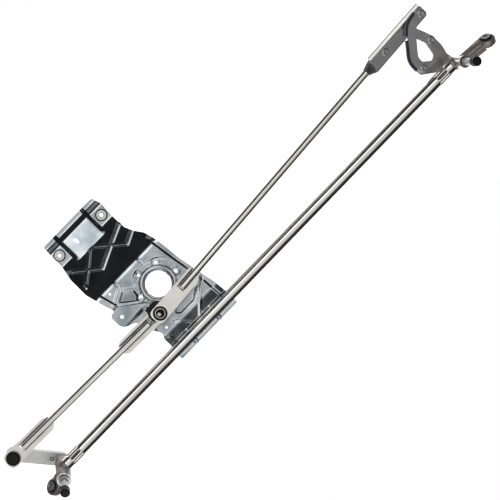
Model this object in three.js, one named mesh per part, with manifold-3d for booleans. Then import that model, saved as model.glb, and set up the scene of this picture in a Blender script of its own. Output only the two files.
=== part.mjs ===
// Windshield wiper linkage of a car or van, without its motor.
// A long frame tube carries a die-cast pivot bearing at each end and a stamped motor bracket in the middle.
// Each pivot shaft carries a lever. The left lever is driven by a rod straight from the crank joint, the right
// one through a second rod and two crossed links, which turn the blade further than the rod alone would.
//
// Design axes, in millimetres: +X runs along the frame tube, +Y towards the bracket's cowl fixings and +Z towards
// the outside of the vehicle, where the wiper arms sit. The design zero is the motor axis at the top of the bracket
// sheet. The exported group is shifted so that its own origin is the seat of the right cowl fixing.

import * as THREE from 'three';
import { mergeVertices } from 'three/addons/utils/BufferGeometryUtils.js';
import Module from 'manifold-3d';

const wasm = await Module();
wasm.setup();

const GAP = 0.3;                 // running and seating gap between separate pieces
const SIDES = 20;                // facets round a small turned piece
const FINE = 28;                 // facets round a large one
const deg = Math.PI / 180;
const UP = new THREE.Vector3(0, 0, 1);

// Frame tube
const TUBE_Y = -95, TUBE_Z = -12, TUBE_R = 10, TUBE_WALL = 2;
const TUBE_LEFT = -311, TUBE_RIGHT = 578;
const CRIMP = { length: 22, width: 6, depth: 1.2, inset: 22 };

// Pivot shafts: where the lever plane cuts the axis, the direction in plan that the shaft leans to, and how far
const LEVER_Z = -48;
const SHAFT_R = 6, CONE_FOOT = 88, CONE_TOP = 98, THREAD_R = 4.2, SHAFT_TOP = 112;
const CAP = { outer: 8.5, foot: 103, top: 117 };
const LEFT = { x: -311.5, y: -85, lean: [-0.594, -0.8], tilt: 26 * deg, barrelR: 12, barrelTop: 72 };
const RIGHT = { x: 579, y: -87, lean: [0.66, -0.74], tilt: 22 * deg, barrelR: 10, barrelTop: 68 };
const BARREL_FOOT = 10, BUSH_WALL = 2, BUSH_LENGTH = 14;
const PLATE = 3;                 // thickness of levers, links and rod ends

// Rubber-mounted fixings
const EAR_R = 14, EAR_THICK = 10.5, WEB_THICK = 7;
const LEFT_EAR = { at: [-349, -107, 0], axis: [-0.35, 0.62, 0.7], arm: 11 };
const RIGHT_EAR = { at: [645, -108, -2], axis: [0.4, 0.78, 0.48], arm: 12 };
const GROMMET = { neck: 8, flange: 10, lip: 2.6 };
const SLEEVE = { outer: 5, inner: 3.2, flange: 7.4, flangeThick: 1.2, proud: 0.6 };

// Motor bracket
const SHEET = 2;
const PAD_Z = -47, PANEL_Z = -40, LIP_DROP = 8;
const PANEL_START = 118, PAD_START = 129, LIP_START = 157.5, LIP_FOOT = 166, BRACKET_END = 176;
const LEFT_FIXING = [-78.5, 146], RIGHT_FIXING = [15, 143];
const PANEL_LEFT = -63, PANEL_RIGHT = -2;
const MOTOR_HOLE_R = 21.2, MOTOR_SCREW_PCD = 70, MOTOR_SCREW_R = 2.7, MOTOR_SCREWS = 6;
const MOTOR_SCREW_START = -9 * deg;

// Linkage joints in plan
const CRANK = new THREE.Vector3(-31.5, -35.5, 28);
const LEFT_BALL = [-363.2, -27.6], LEFT_BALL_HEIGHT = 12;
const ROD_KINK = [470, -5.8];
const JOINT_C = [519, -4], JOINT_D = [603, -1], JOINT_E = [585, -43], JOINT_F = [543, -65];
const JOINT_LEVEL = 5;           // level at which the four link joints lie at those places
const LINK_A_LEVEL = 3.6, LINK_B_LEVEL = 7.4;   // middle of each link above the lever plane
const ROD_STEP = 11.5;           // height of the right rod above the left one at the crank joint
const ROD_R = 6, ROD_WALL = 1.5;
const RIVET_R = 4, RIVET_HEAD = 6.4;
const OPEN_HOLE_R = 7.2, OPEN_PIN_R = 3.4;

// underside of a bracket sleeve, where the bracket sits on the cowl
const FIXING_SEAT = PAD_Z - SHEET - 2 * GAP - GROMMET.lip - SLEEVE.proud;

// ---------------------------------------------------------------- helpers

function closed(geometry) {
  geometry.deleteAttribute('normal');
  geometry.deleteAttribute('uv');
  const merged = mergeVertices(geometry, 1e-3);
  const p = merged.getAttribute('position');
  const index = Array.from(merged.index.array);
  const faces = [];
  for (let i = 0; i < index.length; i += 3) {
    const [a, b, c] = index.slice(i, i + 3);
    if (a !== b && b !== c && c !== a) faces.push(a, b, c);
  }
  let volume = 0;
  const v = [0, 1, 2].map(() => new THREE.Vector3());
  for (let i = 0; i < faces.length; i += 3) {
    v.forEach((u, k) => u.fromBufferAttribute(p, faces[i + k]));
    volume += v[0].dot(v[1].clone().cross(v[2]));
  }
  if (volume < 0) faces.reverse();
  merged.setIndex(faces);
  return merged;
}

// Shared vertices are merged before the shape is turned into place, while they still agree exactly
function solid(geometry, matrix = new THREE.Matrix4()) {
  const g = closed(geometry).applyMatrix4(matrix);
  return new wasm.Manifold(new wasm.Mesh({
    numProp: 3,
    vertProperties: new Float32Array(g.getAttribute('position').array),
    triVerts: new Uint32Array(g.index.array),
  }));
}

function toGeometry(manifold) {
  const mesh = manifold.getMesh();
  const g = new THREE.BufferGeometry();
  g.setAttribute('position', new THREE.BufferAttribute(new Float32Array(mesh.vertProperties), 3));
  g.setIndex(Array.from(mesh.triVerts));
  g.computeVertexNormals();
  return g;
}

const join = (...parts) => parts.reduce((a, b) => a.add(b));
const cut = (body, ...tools) => tools.reduce((a, b) => a.subtract(b), body);

// A matrix whose Z axis is the given direction and whose X axis lies as near as it can to world X, or to world Y
function basis(origin, axis) {
  const z = axis.clone().normalize();
  const near = Math.abs(z.x) < 0.99 ? new THREE.Vector3(1, 0, 0) : new THREE.Vector3(0, 1, 0);
  const x = near.addScaledVector(z, -near.dot(z)).normalize();
  const y = z.clone().cross(x);
  return new THREE.Matrix4().makeBasis(x, y, z).setPosition(origin);
}

// A turned solid: profile points are [radius, height along the axis]
function turned(profile, origin = new THREE.Vector3(), axis = UP, sides = SIDES) {
  const points = profile.map(([r, h]) => new THREE.Vector2(r, h));
  const g = new THREE.LatheGeometry(points, sides);
  return solid(g, basis(origin, axis).multiply(new THREE.Matrix4().makeRotationX(Math.PI / 2)));
}

function cylinder(r, from, to, origin, axis, sides) {
  return turned([[0, from], [r, from], [r, to], [0, to]], origin, axis, sides);
}

function ring(inner, outer, from, to, origin, axis, sides) {
  return turned([[inner, from], [outer, from], [outer, to], [inner, to], [inner, from]], origin, axis, sides);
}

// A tapered round bar from one point to another
function bar(a, b, ra, rb, sides = SIDES) {
  const length = a.distanceTo(b);
  return turned([[0, 0], [ra, 0], [rb, length], [0, length]], a, b.clone().sub(a), sides);
}

function extruded(shape, from, to, matrix = new THREE.Matrix4(), curveSegments = 8) {
  const g = new THREE.ExtrudeGeometry(shape, { depth: to - from, bevelEnabled: false, curveSegments });
  g.translate(0, 0, from);
  return solid(g, matrix);
}

// An outline through [x, y, corner radius] points; each corner is rounded in steps of about 15 degrees
function outline(corners) {
  const points = corners.map(([x, y]) => new THREE.Vector2(x, y));
  const rounded = points.flatMap((p, i) => {
    const before = points.at(i - 1).clone().sub(p);
    const after = points[(i + 1) % points.length].clone().sub(p);
    const inside = Math.acos(THREE.MathUtils.clamp(before.dot(after) / (before.length() * after.length()), -1, 1));
    const steps = Math.round((Math.PI - inside) / (15 * deg));
    const radius = corners[i][2] ?? 0;
    if (radius === 0 || steps === 0) return [p];
    const reach = Math.min(radius / Math.tan(inside / 2), before.length() * 0.45, after.length() * 0.45);
    const start = p.clone().addScaledVector(before.normalize(), reach);
    const end = p.clone().addScaledVector(after.normalize(), reach);
    return new THREE.QuadraticBezierCurve(start, p, end).getPoints(steps + 1);
  });
  return counterClockwise(rounded);
}

function counterClockwise(points) {
  return new THREE.Shape(THREE.ShapeUtils.isClockWise(points) ? points.reverse() : points);
}

function hole(shape, x, y, r) {
  shape.holes.push(new THREE.Path().absarc(x, y, r, 0, Math.PI * 2, true));
  return shape;
}

// A band of even width round a line of points; its ends are square, or round when asked
function band(line, half, round = false, segments = 8) {
  const points = line.map(([x, y]) => new THREE.Vector2(x, y));
  const side = points.map((p, i) => {
    const into = p.clone().sub(points[Math.max(i - 1, 0)]).normalize();
    const out = points[Math.min(i + 1, points.length - 1)].clone().sub(p).normalize();
    const along = into.clone().add(out).normalize();
    const cosine = Math.max(along.dot(i === 0 ? out : into), 0.3);
    return new THREE.Vector2(-along.y, along.x).multiplyScalar(half / cosine);
  });
  const corners = points.map((p, i) => p.clone().add(side[i]));
  if (round) corners.push(...halfTurn(points.at(-1), side.at(-1), segments));
  corners.push(...points.map((p, i) => p.clone().sub(side[i])).reverse());
  if (round) corners.push(...halfTurn(points[0], side[0].clone().negate(), segments));
  return counterClockwise(corners);
}

function halfTurn(centre, start, segments) {
  const steps = Array.from({ length: segments - 1 }, (_, i) => -Math.PI * (i + 1) / segments);
  return steps.map((a) => start.clone().rotateAround(new THREE.Vector2(), a).add(centre));
}

function smooth(points, steps) {
  return new THREE.SplineCurve(points.map(([x, y]) => new THREE.Vector2(x, y)))
    .getSpacedPoints(steps).map((p) => [p.x, p.y]);
}

// ---------------------------------------------------------------- scene

const assembly = new THREE.Group();

const FINISH = {
  zinc: { color: 0xb9b8b2, roughness: 0.3, metalness: 0.9 },
  sheet: { color: 0xa9adb1, roughness: 0.28, metalness: 0.9 },
  cream: { color: 0xd8d5cb, roughness: 0.45, metalness: 0.7 },
  steel: { color: 0x8d8e8e, roughness: 0.45, metalness: 0.8 },
  casting: { color: 0x8b837c, roughness: 0.5, metalness: 0.7 },
  bright: { color: 0xc9cbcc, roughness: 0.2, metalness: 1 },
  bronze: { color: 0x9b7a4a, roughness: 0.5, metalness: 0.8 },
  rubber: { color: 0x1b1b1c, roughness: 0.85, metalness: 0 },
  plastic: { color: 0x151515, roughness: 0.5, metalness: 0 },
};

function add(name, manifold, finish, group = assembly) {
  const mesh = new THREE.Mesh(toGeometry(manifold), new THREE.MeshStandardMaterial(FINISH[finish]));
  mesh.name = name;
  group.add(mesh);
}

// A pivot station: a group whose Z axis is the shaft axis and whose zero is the middle of the lever plate
function station(side) {
  const lean = new THREE.Vector2(...side.lean).normalize();
  const s = Math.sin(side.tilt);
  const axis = new THREE.Vector3(lean.x * s, lean.y * s, Math.cos(side.tilt)).normalize();
  const matrix = basis(new THREE.Vector3(side.x, side.y, LEVER_Z), axis);
  const group = new THREE.Group();
  group.applyMatrix4(matrix);
  assembly.add(group);
  const inverse = matrix.clone().invert();
  const local = (x, y, z) => new THREE.Vector3(x, y, z).applyMatrix4(inverse);
  const turn = (x, y, z) => new THREE.Vector3(x, y, z).transformDirection(inverse);
  // the point of the lever plane, or of a level above it, that lies at x, y in plan
  const plan = ([x, y], level = 0) => {
    const dz = (level - axis.x * (x - side.x) - axis.y * (y - side.y)) / axis.z;
    return local(x, y, LEVER_Z + dz);
  };
  return { side, group, axis, matrix, local, turn, plan };
}

// where the pin axis of a joint seen at x, y and at the given level meets the lever plane
function foot(st, joint, level = JOINT_LEVEL) {
  const p = st.plan(joint, level);
  return new THREE.Vector3(p.x, p.y, 0);
}

const left = station(LEFT);
const right = station(RIGHT);
// plan outlines become outlines in a station's tilted plane
const tilted = (st, points, level) => points.map(([x, y, r]) => {
  const p = st.plan([x, y], level);
  return [p.x, p.y, r];
});

// ---------------------------------------------------------------- frame tube

function frameTube() {
  const start = new THREE.Vector3(TUBE_LEFT, TUBE_Y, TUBE_Z);
  const body = ring(TUBE_R - TUBE_WALL, TUBE_R, 0, TUBE_RIGHT - TUBE_LEFT, start, new THREE.Vector3(1, 0, 0), FINE);
  const dents = [TUBE_LEFT + CRIMP.inset, TUBE_RIGHT - CRIMP.inset].flatMap((x) => [1, -1].map((up) => {
    const g = new THREE.BoxGeometry(CRIMP.length, CRIMP.width, 2 * CRIMP.depth);
    g.translate(x, TUBE_Y, TUBE_Z + up * TUBE_R);
    return solid(g);
  }));
  add('frame_tube', cut(body, ...dents), 'zinc');
}

// ---------------------------------------------------------------- pivot bearings

function bearing(name, st, ear, end, into) {
  const { side } = st;
  const low = BARREL_FOOT, high = side.barrelTop;
  const axis = st.turn(1, 0, 0);
  const bore = SHAFT_R + GAP + BUSH_WALL + GAP;
  const spigotR = TUBE_R - TUBE_WALL - GAP;
  const neckR = TUBE_R - 0.5;
  const mouth = end + into * GAP;
  const tip = end - into * 38;
  const heart = st.local(side.x + (TUBE_Z - LEVER_Z) * st.axis.x, TUBE_Y, TUBE_Z);
  const barrel = turned([[0, low], [side.barrelR - 1, low], [side.barrelR, low + 1], [side.barrelR, high - 1],
    [side.barrelR - 1, high], [0, high]], undefined, undefined, FINE);
  const collar = cylinder(TUBE_R + 1.5, 0, 5, st.local(mouth, TUBE_Y, TUBE_Z), axis.clone().multiplyScalar(into));
  const spigot = bar(st.local(tip, TUBE_Y, TUBE_Z), st.local(mouth + into, TUBE_Y, TUBE_Z), spigotR, spigotR);
  const neck = bar(st.local(mouth, TUBE_Y, TUBE_Z), heart, neckR, neckR + 1.5);
  const earAxis = st.turn(...ear.axis);
  const earAt = st.local(...ear.at);
  const half = EAR_THICK / 2;
  const eye = turned([[0, -half], [EAR_R - 1, -half], [EAR_R, 1 - half], [EAR_R, half - 1], [EAR_R - 1, half],
    [0, half]], earAt, earAxis, FINE);
  const root = new THREE.Vector3(0, 0, earAt.z * 0.5 + high * 0.32);
  const arm = bar(root, earAt, side.barrelR, ear.arm * 0.55);
  const webs = [earAxis, st.turn(0, 0, 1)].map((face) => earWeb(root, earAt, face, side.barrelR, ear.arm));
  const shell = join(barrel, neck, collar, eye, arm, ...webs);
  const tubeRoom = bar(st.local(tip, TUBE_Y, TUBE_Z), st.local(mouth, TUBE_Y, TUBE_Z), TUBE_R + GAP, TUBE_R + GAP);
  const body = cut(shell,
    tubeRoom,
    cylinder(bore, low - 1, high + 1),
    cylinder(GROMMET.neck + GAP, -20, 20, earAt, earAxis),
    cylinder(GROMMET.flange + 0.8, half, 20, earAt, earAxis),
    cylinder(GROMMET.flange + 0.8, -20, -half, earAt, earAxis));
  add(`${name}_bearing_casting`, join(body, cut(spigot, cylinder(bore, low, high))), 'casting', st.group);
  [['lower', low + 1], ['upper', high - BUSH_LENGTH - 1]].forEach(([which, from]) => {
    const bush = ring(SHAFT_R + GAP, SHAFT_R + GAP + BUSH_WALL, from, from + BUSH_LENGTH);
    add(`${name}_${which}_bush`, bush, 'bronze', st.group);
  });
  isolator(`${name}_ear`, earAt, earAxis, EAR_THICK, st.group);
}

// A flat web that widens an ear's arm: a plate along the arm that faces the given direction
function earWeb(root, earAt, face, rootHalf, tipHalf) {
  const along = earAt.clone().sub(root);
  const across = face.clone().cross(along).normalize();
  const normal = along.clone().cross(across).normalize();
  const matrix = new THREE.Matrix4().makeBasis(along.clone().normalize(), across, normal).setPosition(root);
  const length = along.length();
  const shape = outline([[0, -rootHalf], [length, -tipHalf], [length, tipHalf], [0, rootHalf]]);
  return extruded(shape, -WEB_THICK / 2, WEB_THICK / 2, matrix);
}

// A rubber grommet in a hole, with a flanged steel sleeve through it for the fixing bolt
function isolator(name, at, axis, wall, group = assembly) {
  const half = wall / 2 + GAP;
  const top = half + GROMMET.lip;
  const inner = SLEEVE.outer + GAP;
  const rubber = turned([[inner, -top], [GROMMET.flange - 0.8, -top], [GROMMET.flange, -top + 0.8],
    [GROMMET.flange, -half], [GROMMET.neck, -half], [GROMMET.neck, half], [GROMMET.flange, half],
    [GROMMET.flange, top - 0.8], [GROMMET.flange - 0.8, top], [inner, top], [inner, -top]], at, axis);
  add(`${name}_grommet`, rubber, 'rubber', group);
  const reach = top + GAP;
  const sleeve = turned([[SLEEVE.inner, -reach - SLEEVE.proud], [SLEEVE.outer, -reach - SLEEVE.proud],
    [SLEEVE.outer, reach], [SLEEVE.flange, reach], [SLEEVE.flange, reach + SLEEVE.flangeThick],
    [SLEEVE.inner, reach + SLEEVE.flangeThick], [SLEEVE.inner, -reach - SLEEVE.proud]], at, axis);
  add(`${name}_sleeve`, sleeve, 'bright', group);
}

// ---------------------------------------------------------------- shafts, washers, clips, caps

function shaft(name, st) {
  const top = st.side.barrelTop;
  const groove = top + 4.2;
  const profile = [[0, -PLATE / 2 - 2], [SHAFT_R + 2.4, -PLATE / 2 - 2], [SHAFT_R + 2.4, -PLATE / 2 - GAP],
    [SHAFT_R - 0.8, -PLATE / 2 - GAP], [SHAFT_R - 0.8, PLATE / 2 + GAP], [SHAFT_R + 2, PLATE / 2 + GAP],
    [SHAFT_R + 2, 6.2], [SHAFT_R, 6.2], [SHAFT_R, groove], [SHAFT_R - 0.9, groove], [SHAFT_R - 0.9, groove + 1.6],
    [SHAFT_R, groove + 1.6], [SHAFT_R, CONE_FOOT], [THREAD_R + 0.5, CONE_TOP], [THREAD_R, CONE_TOP],
    [THREAD_R, SHAFT_TOP], [0, SHAFT_TOP]];
  add(`${name}_pivot_shaft`, turned(profile, undefined, undefined, FINE), 'bright', st.group);
  const edge = st.side.barrelR - 1.6;
  add(`${name}_thrust_washer`, ring(SHAFT_R + GAP, edge, 6.5, 8), 'bright', st.group);
  add(`${name}_lower_wave_washer`, ring(SHAFT_R + GAP, edge - 0.8, 8.3, 9.5), 'steel', st.group);
  add(`${name}_sealing_ring`, ring(SHAFT_R + GAP, SHAFT_R + 2.3, top + GAP, top + 2.2), 'rubber', st.group);
  add(`${name}_upper_washer`, ring(SHAFT_R + GAP, edge - 1, top + 2.5, top + 4), 'bright', st.group);
  add(`${name}_circlip`, circlip(groove), 'steel', st.group);
  const room = THREAD_R + GAP;
  const cap = turned([[room, CAP.foot], [CAP.outer - 0.6, CAP.foot], [CAP.outer, CAP.foot + 0.8],
    [CAP.outer, CAP.top - 1.6], [CAP.outer - 1.8, CAP.top], [0, CAP.top], [0, SHAFT_TOP + 1], [room, SHAFT_TOP + 1],
    [room, CAP.foot]]);
  add(`${name}_shaft_cap`, cap, 'plastic', st.group);
}

function circlip(groove) {
  const body = ring(SHAFT_R - 0.6, SHAFT_R + 1.9, groove + GAP, groove + 1.3);
  const gap = solid(new THREE.BoxGeometry(6, 7, 6).translate(SHAFT_R + 2, 0, groove + 0.8));
  return cut(body, gap);
}

// ---------------------------------------------------------------- left lever and its ball

function leftLever() {
  const ball = foot(left, LEFT_BALL, LEFT_BALL_HEIGHT);
  const half = 12;
  const plate = extruded(band([[0, 0], [ball.x, ball.y]], half, true), -PLATE / 2, PLATE / 2);
  const rim = 6.5;
  const hollow = extruded(band([[0, 0], [ball.x, ball.y]], half - 2.2, true), -rim - PLATE, -PLATE / 2);
  const skirt = extruded(band([[0, 0], [ball.x, ball.y]], half, true), -rim, -PLATE / 2);
  const tooling = left.plan([-321.5, -72]);
  const body = cut(join(plate, cut(skirt, hollow)),
    cylinder(SHAFT_R - 0.5, -10, 10),
    cylinder(RIVET_R + GAP, -10, 10, ball),
    cylinder(3.2, -10, 10, tooling));
  add('left_lever', body, 'sheet', left.group);
  const r = 8, h = LEFT_BALL_HEIGHT;
  const sweep = Array.from({ length: 9 }, (_, i) => {
    const a = (-58 + i * 148 / 8) * deg;
    return [r * Math.cos(a), h + r * Math.sin(a)];
  });
  sweep.at(-1)[0] = 0;
  const stud = turned([[0, -PLATE / 2 - 2.2], [RIVET_HEAD, -PLATE / 2 - 2.2], [RIVET_HEAD, -PLATE / 2 - GAP],
    [RIVET_R, -PLATE / 2 - GAP], [RIVET_R, PLATE / 2 + GAP], [6, PLATE / 2 + GAP], [6, PLATE / 2 + 1.4],
    ...sweep], ball);
  add('left_ball_stud', stud, 'bright', left.group);
}

// ---------------------------------------------------------------- rods

// A rod's own group: X runs along the rod from its first end, Z as near to up as the rod allows
function rodGroup(from, to) {
  const x = to.clone().sub(from).normalize();
  const z = UP.clone().addScaledVector(x, -x.z).normalize();
  const matrix = new THREE.Matrix4().makeBasis(x, z.clone().cross(x), z).setPosition(from);
  const group = new THREE.Group();
  group.applyMatrix4(matrix);
  assembly.add(group);
  return { group, length: from.distanceTo(to), local: (v) => v.clone().applyMatrix4(matrix.clone().invert()) };
}

const ALONG = new THREE.Vector3(1, 0, 0);
const CRADLE_R = ROD_R + GAP + 2;

// A stamped rod end: a flat plate with a half-round cradle that the rod tube lies in
function rodEnd(shape, rodFrom, rodTo, rodY, rodZ, thick) {
  const start = new THREE.Vector3(rodFrom, rodY, rodZ);
  const plate = extruded(shape, -thick / 2, thick / 2);
  const length = rodTo - rodFrom;
  const lower = cut(cylinder(CRADLE_R, 0, length, start, ALONG),
    solid(new THREE.BoxGeometry(2 * length + 20, 4 * CRADLE_R, 2 * CRADLE_R)
      .translate(rodFrom, rodY, thick / 2 + CRADLE_R)));
  return cut(join(plate, lower), cylinder(ROD_R + GAP, -2, length + 20, start, ALONG));
}

function rodTube(from, to, y, z) {
  return ring(ROD_R - ROD_WALL, ROD_R, 0, to - from, new THREE.Vector3(from, y, z), ALONG, 16);
}

function leftRod() {
  const ball = left.plan(LEFT_BALL, LEFT_BALL_HEIGHT).applyMatrix4(left.matrix);
  const rod = rodGroup(ball, new THREE.Vector3(CRANK.x, CRANK.y, CRANK.z - ROD_STEP));
  const end = rod.length;
  const rodZ = 3.2;
  add('left_rod_tube', rodTube(24, end - 24, 1.2, rodZ), 'zinc', rod.group);

  const outer = hole(outline([[-14.5, -14.5, 14], [14, -13, 6], [30, -12, 6], [80, -12, 6], [87, -5, 3],
    [87, 7, 3], [80, 13.5, 6], [30, 13.5, 6], [14, 14.5, 6], [-14.5, 14.5, 14]]), 0, 0, 10.3);
  add('left_rod_outer_end', rodEnd(outer, 22, 87, 1.2, rodZ, PLATE), 'cream', rod.group);

  const inner = hole(outline([[end + 16, -14, 15], [end + 16, 16, 15], [end - 16, 14, 6], [end - 80, 13.5, 6],
    [end - 87, 8, 3], [end - 87, -6, 3], [end - 80, -11.5, 6], [end - 14, -11.5, 6]]), end, 0, RIVET_R + GAP);
  add('left_rod_inner_end', rodEnd(inner, end - 87, end - 22, 1.2, rodZ, PLATE), 'cream', rod.group);

  add('left_ball_socket', ballSocket(), 'plastic', rod.group);
  const hub = new THREE.Vector3(end, 0, 0);
  add('crank_socket', crankSocket(hub), 'plastic', rod.group);
  const disc = cylinder(16.5, PLATE / 2 + GAP, PLATE / 2 + 2.2, new THREE.Vector3(end, 4, 0), UP, FINE);
  add('crank_joint_shield', cut(disc, cylinder(RIVET_R + GAP, -5, 9, hub)), 'plastic', rod.group);
  const stud = turned([[0, -PLATE / 2 - 2], [RIVET_HEAD, -PLATE / 2 - 2], [RIVET_HEAD, -PLATE / 2 - GAP],
    [RIVET_R, -PLATE / 2 - GAP], [RIVET_R, 16], [RIVET_R - 0.8, 16.8], [0, 16.8]], hub);
  add('crank_stud', stud, 'bright', rod.group);
}

// The moulded cup that snaps over the left lever's ball and is held in the eye of the rod
function ballSocket() {
  const cavity = 8.35;
  const mouth = -3.8;
  const steps = 7;
  const first = Math.asin(mouth / cavity);
  const wall = Array.from({ length: steps }, (_, i) => {
    const a = Math.PI / 2 - (Math.PI / 2 - first) * i / (steps - 1);
    return [cavity * Math.cos(a), cavity * Math.sin(a)];
  });
  wall[0][0] = 0;
  const under = PLATE / 2 + GAP;
  return turned([[0, 11], [9.5, 11], [11.5, 9], [11.5, under], [10, under], [10, -under], [12.4, -under],
    [12.4, mouth], ...wall.reverse()], undefined, undefined, FINE);
}

// The cup under the left rod's inner end that the motor crank's ball snaps into from below
function crankSocket(hub) {
  const cavity = 7.2, centre = -9.4;
  const steps = 5;
  const wall = Array.from({ length: steps }, (_, i) => {
    const a = Math.PI / 2 - (Math.PI / 2 + 40 * deg) * i / (steps - 1);
    return [cavity * Math.cos(a), centre + cavity * Math.sin(a) * 0.55];
  });
  wall[0][0] = 0;
  const floor = wall.at(-1)[1];
  return turned([[0, -4.2], [13, -4.2], [13, floor + 1], [12, floor], ...wall.reverse()], hub, UP);
}

function rightRod() {
  const kink = right.plan(ROD_KINK).applyMatrix4(right.matrix);
  const rod = rodGroup(CRANK, kink);
  const rodZ = 3.4, rodY = 0.8;
  const inner = hole(outline([[-14, -14, 15], [10, -14, 6], [78, -13, 6], [86, -8, 3], [92, 4, 4], [86, 13, 4],
    [78, 13, 4], [10, 13.5, 6], [-14, 14, 15]]), 0, 0, 11.3);
  add('right_rod_inner_end', rodEnd(inner, 52, 90, rodY, rodZ, PLATE), 'cream', rod.group);
  const half = PLATE / 2 + GAP;
  const bush = turned([[8.6, -half - 1.4], [13, -half - 1.4], [13, -half], [11, -half], [11, 4.4], [10.2, 5.2],
    [8.6, 5.2], [8.6, -half - 1.4]], undefined, undefined, FINE);
  add('crank_joint_bush', bush, 'plastic', rod.group);
  add('crank_joint_sleeve', ring(7.4, 8.3, -half - 1.2, 4.6), 'bright', rod.group);

  // the rod tube runs straight to the kink, then is flattened into a plate in the right lever's plane
  const toStation = (v) => right.local(v.x, v.y, v.z);
  const tubeStart = new THREE.Vector3(54, rodY, rodZ).applyMatrix4(rod.group.matrix);
  const tubeEnd = new THREE.Vector3(rod.length, rodY, rodZ).applyMatrix4(rod.group.matrix);
  const tube = bar(toStation(tubeStart), toStation(tubeEnd), ROD_R, ROD_R, 16);
  const mouth = toStation(tubeStart.clone().add(tubeStart.clone().sub(tubeEnd).normalize()));
  const bore = bar(mouth, toStation(tubeEnd), ROD_R - ROD_WALL, ROD_R - ROD_WALL, 16);
  const flat = flattenedEnd(toStation(tubeEnd));
  add('right_rod_tube', join(cut(tube, bore), ...flat), 'steel', right.group);
}

// The flattened end of the right rod, in the lever's plane: taper, plate and rolled upper edge
function flattenedEnd(tubeEnd) {
  const shape = outline(tilted(right, [[468, -10.5, 2], [486, -16.8, 8], [609, -10, 4], [612, -6, 3], [612, 11, 2],
    [609, 14, 2], [488, 7.5, 12], [468, 0, 2]]));
  const c = foot(right, JOINT_C), d = foot(right, JOINT_D);
  hole(shape, c.x, c.y, RIVET_R + GAP);
  hole(shape, d.x, d.y, OPEN_HOLE_R);
  const plate = extruded(shape, -PLATE / 2, PLATE / 2);
  const edge = tilted(right, [[494, 6.8], [610, 12.6]]).map(([x, y]) => new THREE.Vector3(x, y, 0.4));
  const roll = bar(edge[0], edge[1], 2.6, 2.6, 12);
  const wide = right.plan([493, -4.4]);
  const taper = bar(tubeEnd.clone().lerp(wide, -0.15), wide, ROD_R + 0.7, 2, 16);
  return [plate, roll, taper];
}

// ---------------------------------------------------------------- right lever and crossed links

function rightLever() {
  const shape = outline(tilted(right, [[576, -34, 5], [592, -34, 7], [592, -60, 9], [588, -76, 6], [592, -92, 9],
    [578, -101, 10], [564, -92, 8], [533, -70, 7], [532, -56, 7], [550, -56, 4], [563, -67, 6], [571, -61, 5]]));
  const e = foot(right, JOINT_E), f = foot(right, JOINT_F), tooling = right.plan([571, -73]);
  [[e, RIVET_R + GAP], [f, RIVET_R + GAP], [tooling, 3.2], [new THREE.Vector3(), SHAFT_R - 0.5]]
    .forEach(([p, r]) => hole(shape, p.x, p.y, r));
  add('right_lever_plate', extruded(shape, -PLATE / 2, PLATE / 2), 'steel', right.group);
}

const LINK_A_BENDS = [[545, -3.6], [561, -5], [571, -11], [577.5, -23]];
const LINK_B_BENDS = [[589, -3], [578, -6.5], [569, -14.5], [552, -34], [544.5, -44], [542.8, -54]];

// A link's plate, bent in its own plane from one pin to the other
function linkPlate(ends, bends, half, level) {
  const pins = ends.map((joint) => foot(right, joint));
  const line = [[pins[0].x, pins[0].y], ...tilted(right, bends, level), [pins[1].x, pins[1].y]];
  const middle = smooth(line, 14);
  const shape = band(middle, half, true);
  pins.forEach((p) => hole(shape, p.x, p.y, RIVET_R + GAP));
  return { plate: extruded(shape, level - PLATE / 2, level + PLATE / 2), middle };
}

function links() {
  const a = linkPlate([JOINT_C, JOINT_E], LINK_A_BENDS, 8, LINK_A_LEVEL);
  add('cross_link_a', a.plate, 'steel', right.group);
  const b = linkPlate([JOINT_D, JOINT_F], LINK_B_BENDS, 7.6, LINK_B_LEVEL);
  add('cross_link_b', join(b.plate, stiffener(b.middle)), 'steel', right.group);
}

// The raised flange along the outer edge of link B, splayed outwards: stepped bands that climb as they go out
function stiffener(middle) {
  const run = middle.slice(2, -2);
  const rise = 6, splay = 3.6, steps = 3;
  const bands = Array.from({ length: steps }, (_, i) => {
    const offset = -(6.9 + splay * i / (steps - 1));
    const line = run.map(([x, y], k) => {
      const [px, py] = run[Math.max(k - 1, 0)], [qx, qy] = run[Math.min(k + 1, run.length - 1)];
      const size = Math.hypot(qx - px, qy - py);
      return [x - (qy - py) / size * offset, y + (qx - px) / size * offset];
    });
    const low = LINK_B_LEVEL - PLATE / 2 + rise * i / steps;
    return extruded(band(line, 1.2), low, low + PLATE);
  });
  return join(...bands);
}

// Dimpled rivets that join the plates
function rivet(name, joint, low, high, shankR = RIVET_R) {
  const profile = [[0, low - 2.2], [RIVET_HEAD - 1, low - 2.2], [RIVET_HEAD, low - 1.4], [RIVET_HEAD, low - GAP],
    [shankR, low - GAP], [shankR, high + GAP], [RIVET_HEAD, high + GAP], [RIVET_HEAD, high + 1.1],
    [RIVET_HEAD - 1.4, high + 1.9], [2, high + 1.9], [1.2, high + 1.1], [0, high + 1.1]];
  add(name, turned(profile, foot(right, joint), UP, 16), 'steel', right.group);
}

function spacer(name, joint, from, to, inner) {
  add(name, ring(inner, 7.6, from, to, foot(right, joint), UP, 16), 'bright', right.group);
}

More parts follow.
